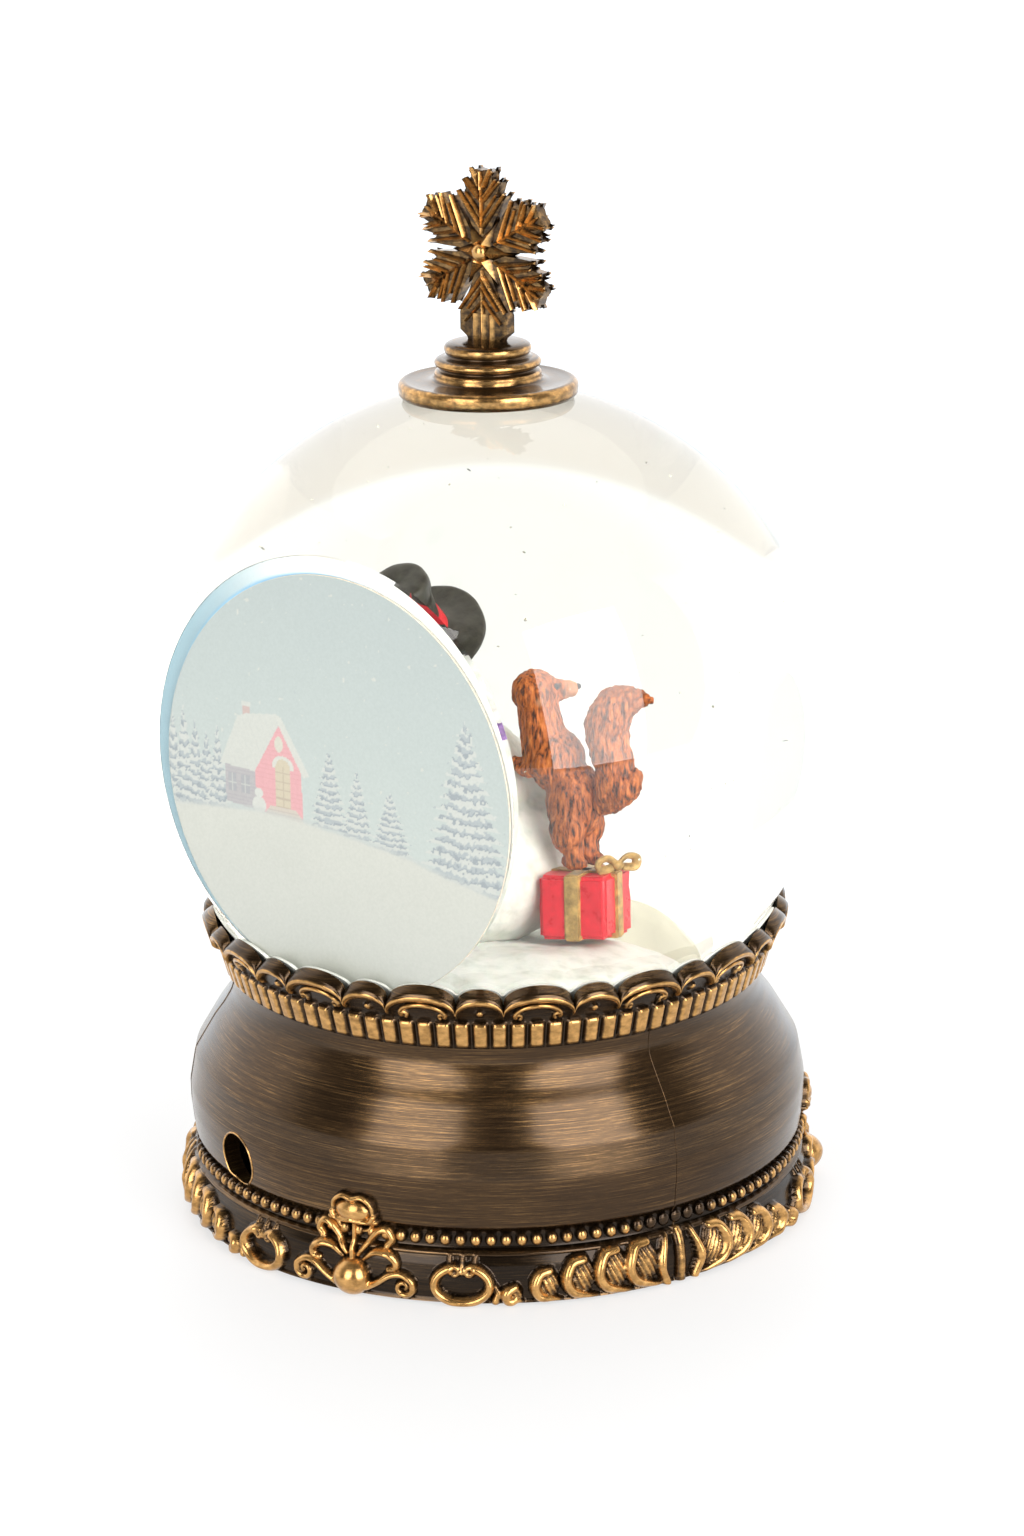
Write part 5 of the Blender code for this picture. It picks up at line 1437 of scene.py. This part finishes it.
def add_snowflake():
    """Six fir-like arms of nested ridges round a six-pointed star, the same on both sides."""
    shape = bmesh.new()
    for number in range(6):
        add_flake_arm(shape, 60 * number, number == 3)
        add_star_point(shape, 60 * number + 30)
    for face in (-1, 1):
        add_ball(shape, (0, face * (FLAKE_HALF + 0.2), 0), 1.25, (1, 0.75, 1), segments=16)
    bmesh.ops.translate(shape, verts=shape.verts, vec=(0, 0, FLAKE_CENTRE))
    bmesh.ops.recalc_face_normals(shape, faces=shape.faces[:])
    mesh = mesh_from("snowflake_crown", shape)
    points, _ = points_of(mesh)
    proud = np.abs(points[:, 1]) - FLAKE_PLATE
    write_layer(mesh, "gold", 1.2 * smooth_step(-0.3, 0.5, proud))
    write_layer(mesh, "hollow", 0.5 * (1 - smooth_step(-0.2, 0.4, proud)))
    put("snowflake_crown", mesh, "bronze", "snowflake", 35)


# ---- The pieces whose CAD shape stays ----


def dress_cad_nodes():
    slots = {entry["node"]: entry["material_slot"] for entry in frame["record"]["subparts"]}
    for name, node in frame["nodes"].items():
        look = SLOT_LOOKS.get(slots[name])
        if look:
            node.data.materials.clear()
            node.data.materials.append(look)


# ---- Camera, light and floor ----

CAMERA_AZIMUTH = 217.0
CAMERA_ELEVATION = 16.0
CAMERA_DISTANCE = 0.6192
CAMERA_ROLL = -0.78
FOCAL_LENGTH = 97.9
CAMERA_SHIFT = (0.0126107, -0.0334310)
AIM = rise(GLOBE_HEIGHT * MM)


def direction(azimuth, elevation):
    flat = math.radians(azimuth)
    lift = math.radians(elevation)
    return Vector((math.sin(flat) * math.cos(lift), -math.cos(flat) * math.cos(lift), math.sin(lift)))


def add_camera():
    camera = bpy.data.cameras.new("camera")
    camera.sensor_fit = "VERTICAL"
    camera.sensor_height = 36
    camera.lens = FOCAL_LENGTH
    camera.shift_x, camera.shift_y = CAMERA_SHIFT
    back = direction(CAMERA_AZIMUTH, CAMERA_ELEVATION)
    right = rise(1).cross(back).normalized()
    up = back.cross(right)
    roll = math.radians(CAMERA_ROLL)
    turned_right = right * math.cos(roll) + up * math.sin(roll)
    turned_up = up * math.cos(roll) - right * math.sin(roll)
    matrix = Matrix((turned_right, turned_up, back)).transposed().to_4x4()
    matrix.translation = AIM + back * CAMERA_DISTANCE
    holder = bpy.data.objects.new("camera", camera)
    holder.matrix_world = matrix
    bpy.context.scene.collection.objects.link(holder)
    bpy.context.scene.camera = holder


SOFTBOX_ELEVATION = 21.5
SOFTBOX_DISTANCE = 1.3
SOFTBOX_HEIGHT = 1.13


def add_softbox(name, azimuth, width, power):
    light = bpy.data.lights.new(name, "AREA")
    light.shape = "RECTANGLE"
    light.size, light.size_y = width, SOFTBOX_HEIGHT
    light.energy = power
    holder = bpy.data.objects.new(name, light)
    way = direction(azimuth, SOFTBOX_ELEVATION)
    holder.location = AIM + way * SOFTBOX_DISTANCE
    holder.rotation_euler = way.to_track_quat("Z", "Y").to_euler()
    bpy.context.scene.collection.objects.link(holder)


DARK_ELEVATION = 24  # the middle of the dim side of the studio, over the camera


def add_world():
    """White behind the globe, and dim warm grey overhead and behind the camera."""
    world = bpy.data.worlds.new("studio")
    bpy.context.scene.world = world
    world.use_nodes = True
    tree = world.node_tree
    where = tree.nodes.new("ShaderNodeTexCoord")
    dot = tree.nodes.new("ShaderNodeVectorMath")
    dot.operation = "DOT_PRODUCT"
    dot.inputs[1].default_value = direction(CAMERA_AZIMUTH, DARK_ELEVATION)
    tree.links.new(where.outputs["Generated"], dot.inputs[0])
    ramp = tree.nodes.new("ShaderNodeValToRGB")
    stops = (
        (0.0, (1.0, 1.0, 1.0)), (0.06, (1.0, 1.0, 1.0)),
        (0.30, (0.22, 0.205, 0.18)), (0.60, (0.07, 0.065, 0.06)),
    )
    elements = ramp.color_ramp.elements
    elements.new(0.5)
    elements.new(0.6)
    for element, (position, colour) in zip(elements, stops):
        element.position = position
        element.color = (*colour, 1)
    tree.links.new(dot.outputs["Value"], ramp.inputs["Fac"])
    background = tree.nodes["Background"]
    background.inputs["Strength"].default_value = 1.6
    tree.links.new(ramp.outputs["Color"], background.inputs["Color"])


SHADOW_EDGE = 0.14  # metres; within it the floor glows dimmer, a painted shadow of the globe on the table; beyond it the floor is as bright as the backdrop
# the dim glow of the floor's painted shadow round the globe
PAINTED_SHADOW_GLOW = (0.65, 0.65, 0.65)
BACKDROP_GLOW = (0.84, 0.92, 1.0)
FLOOR_HALF_SIZE = 2500


def add_floor():
    shape = bmesh.new()
    bmesh.ops.create_grid(shape, x_segments=8, y_segments=8, size=FLOOR_HALF_SIZE)
    mesh = mesh_from("floor", shape)
    look = Look("floor_white", Roughness=0.6)
    tone = look.noise(3, 2.0)
    look.colour(look.ramp(tone, [(0.3, 0.25), (0.7, 0.27)]))
    where = look.node("VectorMath", operation="LENGTH")
    look.join(look.place(), where.inputs[0])
    # Near the globe the floor glows dimmer: a painted shadow that the globe casts on the table round it.
    stops = [(SHADOW_EDGE, PAINTED_SHADOW_GLOW), (SHADOW_EDGE + 0.004, BACKDROP_GLOW)]
    look.join(look.ramp(where.outputs["Value"], stops), look.shader.inputs["Emission Color"])
    look.shader.inputs["Emission Strength"].default_value = 1.0
    mesh.materials.append(look.material)
    floor = bpy.data.objects.new("floor", mesh)
    bpy.context.scene.collection.objects.link(floor)


def main():
    add_foot()
    add_beads()
    add_drum()
    add_hole_edge()
    add_collar()
    add_sealant()
    add_cartouches()
    add_mould_seams()
    add_glass()
    add_glitter()
    add_film()
    add_mound()
    add_snowman()
    add_snowman_face()
    add_scarf()
    add_hat()
    add_squirrel()
    add_tail()
    add_gift()
    add_saucer()
    add_snowflake()
    dress_cad_nodes()
    add_camera()
    add_world()
    add_softbox("softbox_left", 183, 0.72, 13)
    add_softbox("softbox_right", 252, 0.80, 19)
    add_floor()
    bpy.context.scene.view_settings.view_transform = "Standard"


main()
